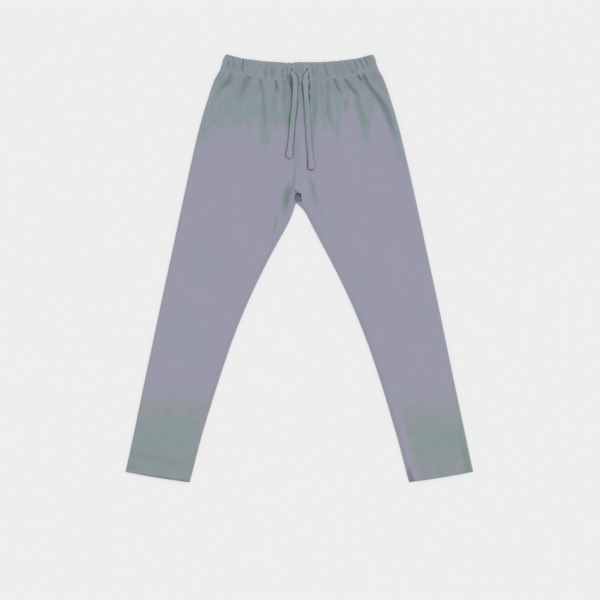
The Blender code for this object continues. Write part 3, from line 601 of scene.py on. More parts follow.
def thread_mesh(name, stitches, material):
    """Stitches of thread in one mesh. Each is (middle, direction, up, length, thickness, rise)."""
    middle, direction, up, length, thick, rise = (np.array(column, float) for column in zip(*stitches))
    direction = unit(direction)
    side = unit(np.cross(direction, up))
    up = np.cross(side, direction)
    at = np.linspace(-1, 1, THREAD_RINGS)
    along = (at * length[:, None] / 2)[..., None] * direction[:, None]
    bowed = ((1 - at**2) * rise[:, None])[..., None] * up[:, None]
    radius = thick[:, None] / 2 * np.sqrt(1 - THREAD_TAPER * at**4)
    shape = ring_shape(THREAD_SIDES)
    rings = tube_points(middle[:, None] + along + bowed, side[:, None], up[:, None], radius, radius, shape)
    first = np.arange(len(stitches)) * THREAD_RINGS * THREAD_SIDES
    faces = capped_tube_faces(THREAD_RINGS, THREAD_SIDES) + first[:, None, None]
    return new_piece(name, rings.reshape(-1, 3), faces.reshape(-1, 4), material)


# ---------------------------------------------------------------- folds


def nearest_on(line, x, y):
    """How far each (x, y) is from a line of points, and the number of the nearest of them."""
    away = np.hypot(x[..., None] - line[:, 0], y[..., None] - line[:, 1])
    return away.min(axis=-1), away.argmin(axis=-1)


def fold_depth(x, y, folds):
    """How much the folds lower the cloth at (x, y). It is negative on the ridges beside them."""
    total = np.zeros(np.shape(x))
    for route, depth, start_half, end_half, starts in folds:
        line = route_points(route, 1.5 * MM)
        away, nearest = nearest_on(line, x, y)
        along = nearest / (len(line) - 1)
        across = away / ((start_half + (end_half - start_half) * along) * MM)
        fades = ramp((1 - along) / FOLD_FADES) * (starts + (1 - starts) * ramp(along / FOLD_COMES_IN))
        trough = hill(across, 1) - RIDGE_SHARE * np.exp(-((across - RIDGE_AT) ** 2) / RIDGE_SPREAD)
        total = total + depth * MM * fades * trough
    return total


def column_curve(rows, column):
    """smooth_curve of one column of a table against its first."""
    return smooth_curve([(row[0], row[column]) for row in rows])


def tie_size(column, along, from_tip):
    """The tie's width, which is column 1, or its thickness, column 2, at this distance along it."""
    start, tip = (column_curve(table, column) for table in (TIE_START, TIE_TIP))
    return np.where(from_tip < TIE_TIP[-1][0] * MM, tip(from_tip), start(along))


def tie_width(name, along, from_tip):
    """The tie's width with the place where it spreads."""
    at, half_length, more = np.array(TIE_SPREADS[name]) * MM
    return tie_size(1, along, from_tip) + more * hill(along - at, half_length)


def tie_line(name):
    """A tie's middle line, unit vectors to its left, and how far along it each point lies."""
    line = route_points(TIE_ROUTES[name], 1 * MM)
    step = np.gradient(line, axis=0)
    return line, unit(np.stack([-step[:, 1], step[:, 0]], axis=1)), distances(line)


def draw_furrows():
    """Each furrow beside a tie as its middle line, with the depth and half width at each point."""
    furrows = []
    for name, side, rows in TIE_FURROWS:
        line, left, along = tie_line(name)
        aside = tie_width(name, along, along[-1] - along) / 2 + FURROW_OFFSET
        depth, width = (column_curve(rows, k)(line[:, 1]) for k in (1, 2))
        furrows.append((line + left * (aside * side)[:, None], depth, width))
    for rows in DENTS:
        middle = route_points([row[:2] for row in rows], 0.6 * MM)
        share = np.linspace(0, 1, len(middle))
        at = np.linspace(0, 1, len(rows))
        depth, width = (np.interp(share, at, [row[k] * MM for row in rows]) for k in (2, 3))
        furrows.append((middle, depth, width))
    return furrows


def furrow_depth(x, y):
    """How much the furrows beside the ties lower the cloth."""
    total = np.zeros(np.shape(x))
    near = within(x, y, FURROWED)
    for middle, depth, width in FURROWS:
        away, nearest = nearest_on(middle, x[near], y[near])
        total[near] = np.maximum(total[near], depth[nearest] * hill(away, width[nearest]))
    return total


FURROWS = draw_furrows()


def draw_gathers(seed):
    """The fine gathers of one leg, as rows of (x at the seam, flare, depth, half width, length)."""
    draw = np.random.default_rng(seed)
    rows = []
    x = draw.uniform(2, 5)
    while x < GATHERED_TO:
        flare = GATHER_FLARE * (x / 125) ** 2 + draw.uniform(-0.06, 0.06)
        sizes = [draw.uniform(*span) for span in (GATHER_DEPTH, GATHER_HALF_WIDTH, GATHER_LENGTH)]
        rows.append((x, flare, *sizes))
        x += draw.uniform(*GATHER_SPACING)
    return rows


def gather_depth(x, down, gathers):
    """How much the fine gathers lower the cloth at distance x from the centre and down below the seam."""
    total = np.zeros(np.shape(x))
    for at, flare, depth, half, length in gathers:
        centre = at * MM + flare * down
        spread = half * MM * (1 + down / GATHER_WIDENS)
        fades = ramp(1 - down / (length * MM)) * (0.7 + 0.3 * ramp(down / (2 * MM)))
        total = total + depth * MM * fades * hill(x - centre, spread)
    return total


def soft_waves(x, y):
    total = np.zeros(np.shape(x))
    for across, along, height, phase in SOFT_WAVES:
        total = total + height * MM * np.sin(2 * math.pi * (across * x + along * y) + phase)
    return total


# ---------------------------------------------------------------- legs


def side_level(level):
    inner, outer = np.array(SIDE_LEVELS).T * MM
    return np.interp(level, inner, outer)


def row_y(x, level):
    """Height in y of the row at this level, at distance x from the centre."""
    edge = np.maximum(inner_x(level), HALF_GAP)
    side = side_level(level)
    across = (x - edge) / (outer_x(side) - edge)
    curved = ramp((level - STRAIGHT_TO) / (WAIST_SEAM_Y - STRAIGHT_TO))
    bow = hem_bow(across) * ramp((HEM_Y - level) / HEM_BOW_REACH + 1)
    return level + (side - level) * (curved * across**2 + (1 - curved) * across) - bow


def hem_groove(level):
    """The two lines that the hem's stitching presses into the cloth, and the soft ridge between them."""
    up = (level - HEM_Y) / MM
    lines = sum(hill((up - row) * MM, HEM_GROOVE_HALF) for row in HEM_ROWS)
    share, half_width = HEM_RIDGE
    return HEM_GROOVE * (lines - share * hill(up - sum(HEM_ROWS) / 2, half_width))


def base_height(x, level, name):
    """Height of the front's outer face over the table with its large folds only."""
    y = row_y(x, level)
    lift = CROTCH_LIFT * np.exp(-(x**2 + (y - CROTCH_Y) ** 2) / CROTCH_LIFT_REACH**2)
    x = SIDES[name] * x
    height = lay(level) + lift - fold_depth(x, y, FOLDS[name]) - furrow_depth(x, y)
    return LEAST_LAY + LAY_SOFTNESS * np.logaddexp(0, (height - LEAST_LAY) / LAY_SOFTNESS)


def clear_of_hem(level):
    """0 at the hem's thin lip and 1 a little above."""
    return ramp((level - HEM_Y) / HEM_LIP)


def front_height(x, level, name):
    """Height of the front's outer face over the table with every fold."""
    fine = gather_depth(x, WAIST_SEAM_Y - level, GATHERS[name]) + hem_groove(level)
    fine = fine - soft_waves(SIDES[name] * x, row_y(x, level))
    return base_height(x, level, name) - np.minimum(fine, MOST_FINE_DEPTH) * clear_of_hem(level)


def back_lift(x, level, name):
    """How far the back's folds rise off the table."""
    y = row_y(x, level)
    other = "left_leg" if name == "right_leg" else "right_leg"
    main = BACK_FOLD_SHARE * fold_depth(SIDES[other] * x, y, FOLDS[other])
    fine = BACK_GATHER_SHARE * gather_depth(x, WAIST_SEAM_Y - level, GATHERS[name])
    waves = np.maximum(soft_waves(x + WAVE_SHIFT, y), 0)
    return np.clip(main + fine + waves + hem_groove(level), 0, MOST_BACK_DEPTH) * clear_of_hem(level)


GATHERS = {name: draw_gathers(seed) for name, seed in GATHER_SEEDS.items()}


def leg_surface(u, level, name, height, lift):
    """The outer face of a leg at column u and row level, and each point's distance across the knitting and
    from the sheet's side edges. u runs 0 to 1 over the front, to 2 round the outer fold, to 3 under the back
    and to 4 up to the inseam."""
    edge = np.maximum(inner_x(level) + inner_ease[name](level), HALF_GAP)
    seam_x = edge + inseam_inset(level)
    fold_level = side_level(level)
    fold_x = outer_x(fold_level) + outer_ease[name](fold_level) - FOLD_REACH

    # The back ends flat at the centre back seam above the crotch, and rolls up to the inseam below it.
    curl = np.clip((CROTCH_Y - level) / CURL_HEIGHT, 0, 1)
    radius = roll_radius(level)
    arc = math.pi * curl
    roll_x = edge + radius * np.sin(np.minimum(arc, math.pi / 2))
    least_flat, most_flat = FLAT_RUNS
    flat_run = (most_flat - least_flat) * (1 - curl) + least_flat
    below_curl = np.maximum(CROTCH_Y - CURL_HEIGHT - level, 0)
    top_run = np.minimum(seam_x - SEAM_GAP - roll_x, TOP_RUN_GROWTH * below_curl + LEAST_TOP_RUN)
    top_run = np.maximum(top_run, LEAST_TOP_RUN) * (curl == 1)

    front_x = seam_x + np.clip(u, 0, 1) * (fold_x - seam_x)
    front_z = height(front_x, level, name)

    turn = math.pi / 2 - math.pi * np.clip(u - 1, 0, 1)
    side_x = fold_x + FOLD_REACH * np.cos(turn)
    side_z = height(fold_x, level, name) / 2 * (1 + np.sin(turn))

    back_u = np.clip(u - 2, 0, 1)
    back_x = fold_x + back_u * (roll_x + flat_run - fold_x)
    flat_share = ramp(back_u / BACK_FLAT_SHARE) * ramp((1 - back_u) / BACK_FLAT_SHARE)
    back_z = lift(back_x, level, name) * flat_share

    whole = flat_run + radius * arc + top_run
    length = np.clip(u - 3, 0, 1) * whole
    roll = np.clip((length - flat_run) / radius, 0, arc)
    over = np.clip(length - flat_run - radius * arc, 0, None)
    end_x = roll_x + np.maximum(flat_run - length, 0) - radius * np.sin(roll) + over
    rise = (height(seam_x, level, name) - 2 * radius) * (1 - inseam_dip(level))
    end_z = radius * (1 - np.cos(roll)) + rise * ramp(over / np.maximum(top_run, 1e-6))

    parts = [u <= 1, u <= 2, u <= 3]
    x = np.select(parts, [front_x, side_x, back_x], end_x)
    y = row_y(x, level)
    z = np.select(parts, [front_z, side_z, back_z], end_z)
    lean = crotch_lean(y) * ramp(1 - x / LEAN_REACH)
    points = np.stack([SIDES[name] * x + lean, y, z], axis=-1)

    half_round = 5 * MM
    round_fold = fold_x + half_round * np.clip(u - 1, 0, 1)
    across = np.select(parts[:2], [front_x, round_fold], 2 * fold_x - x) + half_round * (u > 2)
    from_edge = np.select([u <= 1, u <= 3], [front_x - seam_x, np.full_like(x, 1.0)], whole - length)
    return points, across, from_edge


def leg_wall(level):
    return CLOTH + (HEM_WALL - CLOTH) * ramp((HEM_Y + HEM_HEIGHT + HEM_STEP / 2 - level) / HEM_STEP)


def leg_levels():
    """The rows of a leg, close together at the waist, the crotch and the hem."""
    edge = np.array([0, 0.12, 0.3, 0.55, 0.9, 1.4])
    stretches = [
        (1.3, 250), (1.7, 190), (2.4, 132), (1.0, 122.4), (0.5, 120.4), (0.2, 119.2), (0.54, 103), (0.8, 95),
        (1.6, 76), (5.6, -312), (1.2, -340.2),
    ]
    levels = list(WAIST_SEAM_Y / MM - edge)
    for step, until in stretches:
        count = max(1, round((levels[-1] - until) / step))
        levels += list(np.linspace(levels[-1], until, count + 1)[1:])
    levels += list(HEM_Y / MM + edge[::-1])
    return np.array(levels) * MM


def leg_columns():
    near_seam = np.array([0, 0.12, 0.28, 0.5, 0.8, 1.2, 1.7])
    front = np.concatenate([near_seam, np.arange(2.3, 27, 0.6), np.linspace(27.2, 120, 62)]) / 120
    fold = 1 + np.arange(1, 8) / 7
    back = 2 + np.arange(1, 27) / 26
    end = 3 + np.concatenate([np.arange(1, 20) / 20, [0.97, 0.985, 1]])
    return np.concatenate([front, fold, back, end])


def inward(name, u, level, height, lift):
    """Unit normals of a leg's outer face, pointing into the garment."""
    flat_u = np.clip(u, 1e-3, 4 - 1e-3)
    near = np.clip(level, HEM_Y + 0.1 * MM, WAIST_SEAM_Y - 0.1 * MM)

    def at(u, level):
        return leg_surface(u, level, name, height, lift)[0]

    along = at(flat_u + 1e-4, near) - at(flat_u - 1e-4, near)
    down = at(flat_u, near - 0.01 * MM) - at(flat_u, near + 0.01 * MM)
    return unit(np.cross(along, down) * SIDES[name])


def no_lift(x, level, name):
    return 0 * x


def leg_shade(name, face, u, level):
    """How much painted shade deepens the colour at each point of a leg's outer face; the shins darken
    towards the hem.
    """
    x = np.abs(face[..., 0])
    y = face[..., 1]
    below = WAIST_SEAM_Y - level
    above = level - HEM_Y
    folded = fold_depth(SIDES[name] * x, y, FOLDS[name]) + gather_depth(x, below, GATHERS[name])
    furrowed = furrow_depth(SIDES[name] * x, y)
    shade = np.maximum(fold_shade_share(folded), FURROW_SHADE_SHARE * furrowed / FULL_SHADE_DEPTH)
    shade = shade + SEAM_SHADE * ramp((below - 0.8 * MM) / (1.6 * MM)) * ramp(1 - below / SEAM_SHADE_HEIGHT)
    shade = shade + smooth_curve(HEM_SHADE[name], unit=1)(x) * ramp(1 - above / HEM_SHADE_HEIGHT)
    shade = shade + SHIN_DEEPER[name] * ramp(1.4 * (1 - above / SHIN_DEEPER_HEIGHT))
    shade = shade + (u > 3) * INSEAM_SHADE[name] * ramp((INSEAM_SHADE_TOP[0] - level) / INSEAM_SHADE_TOP[1])
    return np.clip(shade, 0, 1) * np.where(u <= 1, 1, ramp((face[..., 2] - 1.5 * MM) / (2 * MM)))


def make_leg(name, material):
    u, level = np.meshgrid(leg_columns(), leg_levels())
    face, across, from_edge = leg_surface(u, level, name, front_height, back_lift)
    plain, _, _ = leg_surface(u, level, name, base_height, no_lift)
    normal = inward(name, u, level, base_height, no_lift)
    normal[u <= 1] = [0, 0, -1]
    normal[(u >= 3 - 1e-9) & (plain[..., 2] < 1e-9)] = [0, 0, 1]

    seam_drop = edge_drop(np.minimum(from_edge, WAIST_SEAM_Y - level), SEAM_ROUND)
    seam_drop = seam_drop * np.where(u > 3, np.abs(normal[..., 2]), 1)
    hem_drop = edge_drop(level - HEM_Y, HEM_ROUND)
    outer = face + normal * (seam_drop + hem_drop)[..., None]
    inner = plain + normal * (leg_wall(level) - hem_drop)[..., None]

    points = np.concatenate([outer.reshape(-1, 3), inner.reshape(-1, 3)])
    lean_sin, lean_cos = math.sin(WALE_LEAN), math.cos(WALE_LEAN)
    y = face[..., 1]
    ribs = [across * lean_cos + y * lean_sin, y * lean_cos - across * lean_sin, across * 0 + SIDES[name]]
    shade = np.tile(leg_shade(name, face, u, level).ravel(), 2)
    attributes = [
        ("cloth", np.tile(np.stack(ribs, axis=-1).reshape(-1, 3), (2, 1))),
        ("tone", tone_at(points[:, 0], points[:, 1])),
        # painted shade: deepest in the hollow at the crotch, and in the leg's folds, furrows and edges
        ("painted_shade", np.maximum(crotch_shade_at(points), shade)),
    ]
    return new_piece(f"{name}_cloth", points, wall_faces(*u.shape), material, attributes)


def fold_shade_share(depth):
    """How much painted shade deepens the colour down in a fold of this depth."""
    return FOLD_SHADE_SHARE * np.clip(depth / FULL_SHADE_DEPTH, 0, 1) ** 1.2


def past(x, edge, strip):
    """0 up to a strip's distance out from an edge, and 1 once it has changed."""
    start, fade = strip
    return ramp((np.abs(x) - edge - start * MM) / (fade * MM))


def tone_at(x, y):
    """The share of the cooler tone: most near the waist and at the shins, none on the thighs."""
    inner, outer = inner_x(y), outer_x(y)
    at_seam, below = WAIST_TONE
    waist = at_seam + (below - at_seam) * ramp((band_bottom(x) - y) / WAIST_TONE_RISE)
    waist = waist * ramp((y - shade_reach(x)) / SHADE_FADE)
    waist = waist * (1 - WAIST_EDGE_SHARE * past(x, outer, WAIST_EDGE))

    shins = 0
    for name, (start, fade) in SHIN_SHADE.items():
        on_leg = x < 0 if name == "right_leg" else x >= 0
        shins = shins + on_leg * ramp((start * MM - y) / (fade * MM))
    middle, reach = SHIN_MIDDLE
    shins = shins * (SHIN_TONE[0] + SHIN_TONE[1] * hill(y - middle, reach))
    middle, reach = CALF_STRIP_MIDDLE
    calf = (1 - past(x, inner, CALF_STRIP)) * hill(y - middle, reach)
    top, fade = OUTER_STRIP_TOP
    cooler = past(x, outer, OUTER_STRIP) * ramp((top - y) / fade)
    across = (x - inner_x(HEM_Y)) / (outer_x(HEM_Y) - inner_x(HEM_Y))
    up = y - HEM_Y - across * (SIDE_LEVELS[0][1] - SIDE_LEVELS[0][0]) * MM
    plainer, strip_up, strip_half = HEM_PLAIN
    plain = past(x, inner, INNER_STRIP) * (1 - plainer * hill(up - strip_up, strip_half))
    left_shin = np.maximum(shins * plain, STRIP_SHARE * cooler)
    shins = np.where(x < 0, shins * (1 - STRIP_SHARE * calf), left_shin)

    streaks = np.zeros(np.shape(x))
    near = within(x, y, STREAKED)
    streaks[near] = np.clip(fold_depth(x[near], y[near], TONE_STREAKS) / MM, 0, 1)
    return np.maximum(waist, streaks) + shins


def crotch_shade_at(points):
    """The share of painted shade in the hollow between the inseams: 1 deep inside, 0 on the garment's faces.
    """
    away = (points[:, :2] - CROTCH_SHADE_MIDDLE) / CROTCH_SHADE_HALF
    return ramp(2.2 * (1 - np.hypot(*away.T))) * ramp((CROTCH_SHADE_TOP_Z - points[:, 2]) / CROTCH_SHADE_FADE)


# ---------------------------------------------------------------- waistband


def band_bottom(x):
    return BAND_SEAM_Y + BAND_SIDE_RISE * (x / BAND_SIDE) ** 2


def band_top(x):
    wave = sum(height * np.sin(2 * math.pi * x / length + phase) for length, height, phase in TOP_SCALLOPS)
    rise = BAND_TOP_RISE * np.abs(x / BAND_TOP_SIDE) ** 3
    return BAND_TOP_Y + rise + top_ease(x) + wave - TOP_NOTCH * hill(x - TOP_NOTCH_X, TOP_NOTCH_HALF)


def band_y(x, w):
    return band_bottom(x) + (band_top(x) - band_bottom(x)) * w


def band_share(x, y):
    """The share of the band's height at (x, y), from 0 at the seam to 1 at the top."""
    return (y - band_bottom(x)) / (band_top(x) - band_bottom(x))


def buttonhole_depth(x, y):
    beyond_x = np.abs(np.abs(x) - BUTTONHOLE_X) - BUTTONHOLE_HALF[0]
    beyond_y = np.abs(y - BUTTONHOLE_Y) - BUTTONHOLE_HALF[1]
    return BUTTONHOLE_DEPTH * ramp(1 - np.maximum(beyond_x, beyond_y) / BUTTONHOLE_BEVEL)


def band_fold_depth(x, w):
    """How much the waistband's folds lower its face at x and share w of the height."""
    total = np.zeros(np.shape(x))
    before, fade = BAND_FOLD_ENDS
    away, spread = BAND_RIDGES
    for top, seam, depth, half, low, high in BAND_FOLDS:
        across = (x - (seam + (top - seam) * w) * MM) / (half * MM)
        fades = ramp((w - low + before) / fade) * ramp((high - w + before) / fade)
        trough = hill(across, 1) - RIDGE_SHARE * np.exp(-((np.abs(across) - away) ** 2) / spread)
        total = total + depth * MM * fades * trough
    return total


def draw_puckers():
    """Small dents between the folds, as rows like those of BAND_DENTS."""
    draw = np.random.default_rng(BAND_SEED)
    rows = list(BAND_DENTS)
    for x in np.arange(-118, 119, 2.9):
        at = x + draw.uniform(-1.2, 1.2)
        share = draw.uniform(0.02, 0.98)
        half_height = draw.uniform(0.12, 0.34)
        rows.append((at, share, draw.uniform(0.8, 2.6), half_height, draw.uniform(0.3, 1.0)))
    return rows


def pucker_depth(x, w):
    total = np.zeros(np.shape(x))
    for at, share, half, half_height, depth in PUCKERS:
        shape = np.exp(-(((x - at * MM) / (half * MM)) ** 2) - ((w - share) / half_height) ** 2)
        total = total + depth * BAND_PUCKER * shape
    return total


PUCKERS = draw_puckers()


def clear_of_sides(x, w):
    """1 over the band, and 0 where it folds round at the sides."""
    return ramp((1 - np.abs(x) / (band_half_width(w) - FOLD_REACH)) / BAND_SIDE_FADE)


def band_front_height(x, w):
    """Height of the band's front face over the table, without the buttonholes."""
    share, reach = CALM
    calm = 1 - share * hill(np.abs(x) - BUTTONHOLE_X, reach)
    folds = (band_fold_depth(x, w) + pucker_depth(x, w)) * clear_of_sides(x, w) * calm
    return band_lay(w) - np.minimum(folds + furrow_depth(x, band_y(x, w)), MOST_BAND_DEPTH)


def band_back_lift(x, w):
    """How far the folds of the back half rise off the table."""
    depth = BAND_BACK_SHARE * band_fold_depth(x, w) + pucker_depth(x, w)
    return np.clip(depth, 0, None) * clear_of_sides(x, w)


def band_turns(u):
    """The angle round the folded sides, and whether u is in one of them."""
    turn = math.pi / 2 - math.pi * np.clip(u - 1, 0, 1) - math.pi * np.clip(u - 3, 0, 1)
    return turn, (u > 1) & (u < 2) | (u > 3)


def band_middle(u, fold_x):
    front = (2 * np.clip(u, 0, 1) - 1) * fold_x
    back = (1 - 2 * np.clip(u - 2, 0, 1)) * fold_x
    return np.where(u <= 2, front, back)


def band_surface(u, w):
    """The outer face of the waistband. u runs 0 to 1 over the front from right to left, to 2 round a side,
    to 3 under the back and to 4 round the other side. w is the share of the height."""
    reach = BAND_WALL + BAND_LAYER_GAP / 2
    middle = band_middle(u, band_half_width(w) - reach)
    turn, folded = band_turns(u)
    x = middle + reach * np.cos(turn) * folded
    y = band_y(x, w)
    z = band_front_height(middle, w) / 2 * (1 + np.sin(turn)) - buttonhole_depth(x, y) * (u < 1)
    z = z + band_back_lift(middle, w) * ((u >= 2) & (u <= 3))
    return np.stack([x, y, z], axis=-1), np.stack([np.cos(turn) * folded, 0 * x, np.sin(turn)], axis=-1)


def band_inside(u, w):
    """The inner face of the waistband, smooth and with no folds."""
    reach = BAND_LAYER_GAP / 2
    turn, folded = band_turns(u)
    x = band_middle(u, band_half_width(w) - BAND_WALL - reach) + reach * np.cos(turn) * folded
    return np.stack([x, band_y(x, w), BAND_WALL + reach * (1 + np.sin(turn))], axis=-1)


def band_grid():
    """The columns u and the rows w of the waistband, close together at the buttonholes and the rims."""
    near = np.arange(-4.2, 4.21, 0.3) * MM
    spread = [x for x in np.linspace(-1, 1, 290) if abs(abs(x) * BAND_SIDE - BUTTONHOLE_X) > 4.4 * MM]
    fine = [x / BAND_SIDE for at in (-BUTTONHOLE_X, BUTTONHOLE_X) for x in near + at]
    front = (np.array(sorted(spread + fine)) + 1) / 2
    fold = np.arange(1, 11) / 10
    u = np.concatenate([front, 1 + fold, 2 + np.arange(1, 141) / 140, 3 + fold[:-1]])
    rims = np.array([0, 0.004, 0.011, 0.022, 0.038])
    return np.meshgrid(u, np.concatenate([rims, np.linspace(0.06, 0.94, 40), 1 - rims[::-1]]))


def make_waistband(material):
    u, w = band_grid()
    face, outwards = band_surface(u, w)
    inside = band_inside(u, w)
    x, y, z = np.moveaxis(face, -1, 0)
    height = band_top(x) - band_bottom(x)
    top_drop = edge_drop((1 - w) * height, BAND_TOP_ROUND)
    seam_drop = edge_drop(w * height, SEAM_ROUND)
    outer = face - outwards * (top_drop + seam_drop)[..., None]
    room = np.abs(z - inside[..., 2])
    inner_rise = np.minimum(top_drop, np.maximum(room - top_drop - 0.3 * MM, 0))
    inner = inside + outwards * (inner_rise * (np.abs(outwards[..., 2]) > 0.99))[..., None]

    rows = len(u)
    across = np.tile(distances(inside[rows // 2]), (rows, 1))
    at_seam, above = BAND_TONES
    tone = at_seam + (above - at_seam) * ramp(w / 0.14)
    # painted shade in the band's folds and over it but for its seam's ridge, and painted shadow in the
    # buttonhole slits
    sunk = np.maximum(band_lay(w) - band_front_height(x, w), 0)
    slit = 0.5 * ramp(buttonhole_depth(x, y) / BUTTONHOLE_DEPTH)
    shade = (fold_shade_share(1.8 * sunk) + BAND_SHADE * ramp((w - 0.05) / 0.1)) * (u < 1) + slit * (u < 1)
    attributes = [
        ("cloth", np.tile(np.stack([across, y, across * 0 + 3], axis=-1).reshape(-1, 3), (2, 1))),
        ("tone", np.tile(tone.ravel(), 2)),
        ("painted_shade", np.tile(shade.ravel(), 2)),
    ]
    points = np.concatenate([outer.reshape(-1, 3), inner.reshape(-1, 3)])
    return new_piece("waistband_cloth", points, wall_faces(*u.shape, closed=True), material, attributes)


# ---------------------------------------------------------------- tie ends


def garment_top(x, y):
    """Height of the highest cloth at (x, y), near the centre front."""
    level = np.array(y, float)
    for _ in range(8):
        level = level + y - row_y(np.abs(x), level)
    right, left = (front_height(np.abs(x), level, name) for name in ("right_leg", "left_leg"))
    leg = np.where(x > 0, left, right)
    w = band_share(x, y)
    band = band_front_height(x, np.clip(w, 0, 1))
    return np.where(w > -0.02, np.where(w < 0, np.maximum(leg, band), band), leg)


def windowed(values, combine):
    """One number for each value and those within TIE_WINDOW of it."""
    padded = np.pad(values, TIE_WINDOW, mode="edge")
    return np.array([combine(padded[i : i + 2 * TIE_WINDOW + 1]) for i in range(len(values))])


def tie_path(name):
    """The rings' centres, from inside the buttonhole to the tip."""
    line, left, along = tie_line(name)
    offsets = np.linspace(-1, 1, 9) * TIE_HALF_REACH
    under = line[:, None, :] + offsets[None, :, None] * left[:, None, :]
    support = garment_top(under[..., 0], under[..., 1]).max(axis=1)
    rest = windowed(windowed(support, np.max), np.mean)
    flat = rest + TIE_CLEARANCE + TIE_START[-1][2] / 2 * MM
    lifted = rest[0] + TIE_RISES[-1][1] * MM

    centres = [(*line[0], rest[0] - TIE_ROOT)]
    for at, up in np.array(TIE_RISES) * MM:
        centres.append((*points_at(at, along, line), rest[0] + up))
    stations = np.arange(3.0 * MM, along[-1] - 2.4 * MM, TIE_STATION)
    for at in [*stations, *(along[-1] - np.array([2.0, 1.4, 0.9, 0.5, 0.2, 0]) * MM)]:
        settle = np.exp(-at / TIE_SETTLE)
        lying = np.interp(at, along, flat)
        centres.append((*points_at(at, along, line), lying * (1 - settle) + max(lifted, lying) * settle))
    return np.array(centres)


def tie_frame(centres):
    """Unit vectors across each ring, and up from it."""
    level = np.gradient(centres, axis=0)
    ahead = unit(np.concatenate([[(0, 0, 1)], level[1:]]))
    level[:6] = level[6]
    across = unit(np.stack([level[:, 1], -level[:, 0], 0 * level[:, 0]], axis=1))
    return across, unit(np.cross(across, ahead))


def make_tie(name, material, thread):
    centres = tie_path(name)
    across, up = tie_frame(centres)
    along = distances(centres)
    from_tip = along[-1] - along
    body = ramp(along / (12 * MM)) * ramp((from_tip - 10 * MM) / (12 * MM))
    phase = TIE_PHASES[name]
    wider, thicker = TIE_WAVERS
    width = tie_width(name, along, from_tip) * (1 + wider * body * np.sin(along * 160 + phase))
    thick = tie_size(2, along, from_tip) * (1 + thicker * body * np.sin(along * 230 + 2 * phase))
    dent, half_width = TIE_TIP_DENT
    thick = thick * (1 - dent * hill(from_tip - TIE_TIP_ROW, half_width))
    shape = ring_shape(TIE_SIDES, TIE_SQUARENESS)
    rings = tube_points(centres, across, up, width / 2, thick / 2, shape)

    # a shallow line runs along its top
    flat, tall = shape
    at, half_width = TIE_LINE_AT
    pressed = TIE_LINE * hill(flat - at, half_width) * (tall > 0)
    rings = rings - (pressed[None, :, None] * body[:, None, None]) * up[:, None]

    around = np.cumsum(np.linalg.norm(np.diff(rings, axis=1, prepend=rings[:, :1]), axis=-1), axis=1)
    cloth = np.stack([around, around * 0 + along[:, None], around * 0 + 5], axis=-1).reshape(-1, 3)
    points = rings.reshape(-1, 3)
    attributes = [("cloth", cloth), ("tone", tone_at(points[:, 0], points[:, 1]))]
    faces = capped_tube_faces(len(centres), TIE_SIDES)
    ribbon = new_piece(f"{name}_ribbon", points, faces, material, attributes)
    row = int(np.argmin(np.abs(from_tip - TIE_TIP_ROW)))
    stitches = []
    for share in TIE_END_STITCHES:
        at = centres[row] + across[row] * width[row] / 2 * share + up[row] * (thick[row] / 2 - 0.12 * MM)
        stitches.append((at, across[row], up[row], TIE_END_STITCH, THREAD, 0.16 * MM))
    return ribbon, thread_mesh(f"{name}_end_stitches", stitches, thread), centres


# ---------------------------------------------------------------- stitching


def hem_stitches(name):
    """The twin row round one hem, on the front and the back."""
    stitches = []
    for up_from_hem in HEM_ROWS:
        for first, last, up, raised in ((0.012, 0.995, 1, 0.02), (2.02, 2.98, -1, 0.3)):
            columns = np.linspace(first, last, 160)
            level = np.full_like(columns, HEM_Y + up_from_hem * MM)
            row, _, _ = leg_surface(columns, level, name, front_height, back_lift)
            along = distances(row)
            for at in np.arange(STITCH_PITCH / 2, along[-1] - STITCH_PITCH / 2, STITCH_PITCH):
                middle, ahead = points_at([at, at + 1 * MM], along, row)
                raised_middle = middle + (0, 0, raised * MM)
                stitch = (raised_middle, ahead - middle, (0, 0, up), STITCH_LENGTH, THREAD, STITCH_RISE)
                stitches.append(stitch)
    return stitches


def buttonhole_stitches():
    """Close satin stitches round both slits."""
    stitches = []
    half_x, half_y = BUTTONHOLE_HALF
    off = BUTTONHOLE_BEVEL * 0.75
    for centre in (-BUTTONHOLE_X, BUTTONHOLE_X):
        for y in np.arange(-half_y, half_y + 1e-9, SATIN_PITCH):
            for side in (-1, 1):
                x = centre + side * (half_x + off)
                stitches.append(satin_stitch(x, BUTTONHOLE_Y + y, (side, 0.06 * math.sin(y * 9000), 0)))
        for x in np.arange(-half_x - off, half_x + off + 1e-9, SATIN_PITCH):
            for end in (-1, 1):
                y = BUTTONHOLE_Y + end * (half_y + off)
                stitches.append(satin_stitch(centre + x, y, (0, end, 0)))
    return stitches


def satin_stitch(x, y, direction):
    height = band_front_height(np.array(x), np.array(band_share(x, y)))
    z = float(height) - float(buttonhole_depth(x, y)) * SATIN_SINKS
    return ((x, y, z), direction, (0, 0, 1), SATIN_LENGTH, SATIN_THREAD, SATIN_RISE)


# ---------------------------------------------------------------- materials


class Value:
    """A shader socket that can be used in sums."""

    def __init__(self, shader, socket):
        self.shader = shader
        self.socket = socket

    def __add__(self, other):
        return self.shader.maths("ADD", self, other)

    def __sub__(self, other):
        return self.shader.maths("SUBTRACT", self, other)

    def __rsub__(self, other):
        return self.shader.maths("SUBTRACT", other, self)

    def __mul__(self, other):
        return self.shader.maths("MULTIPLY", self, other)

    def __truediv__(self, other):
        return self.shader.maths("DIVIDE", self, other)

    __radd__ = __add__
    __rmul__ = __mul__


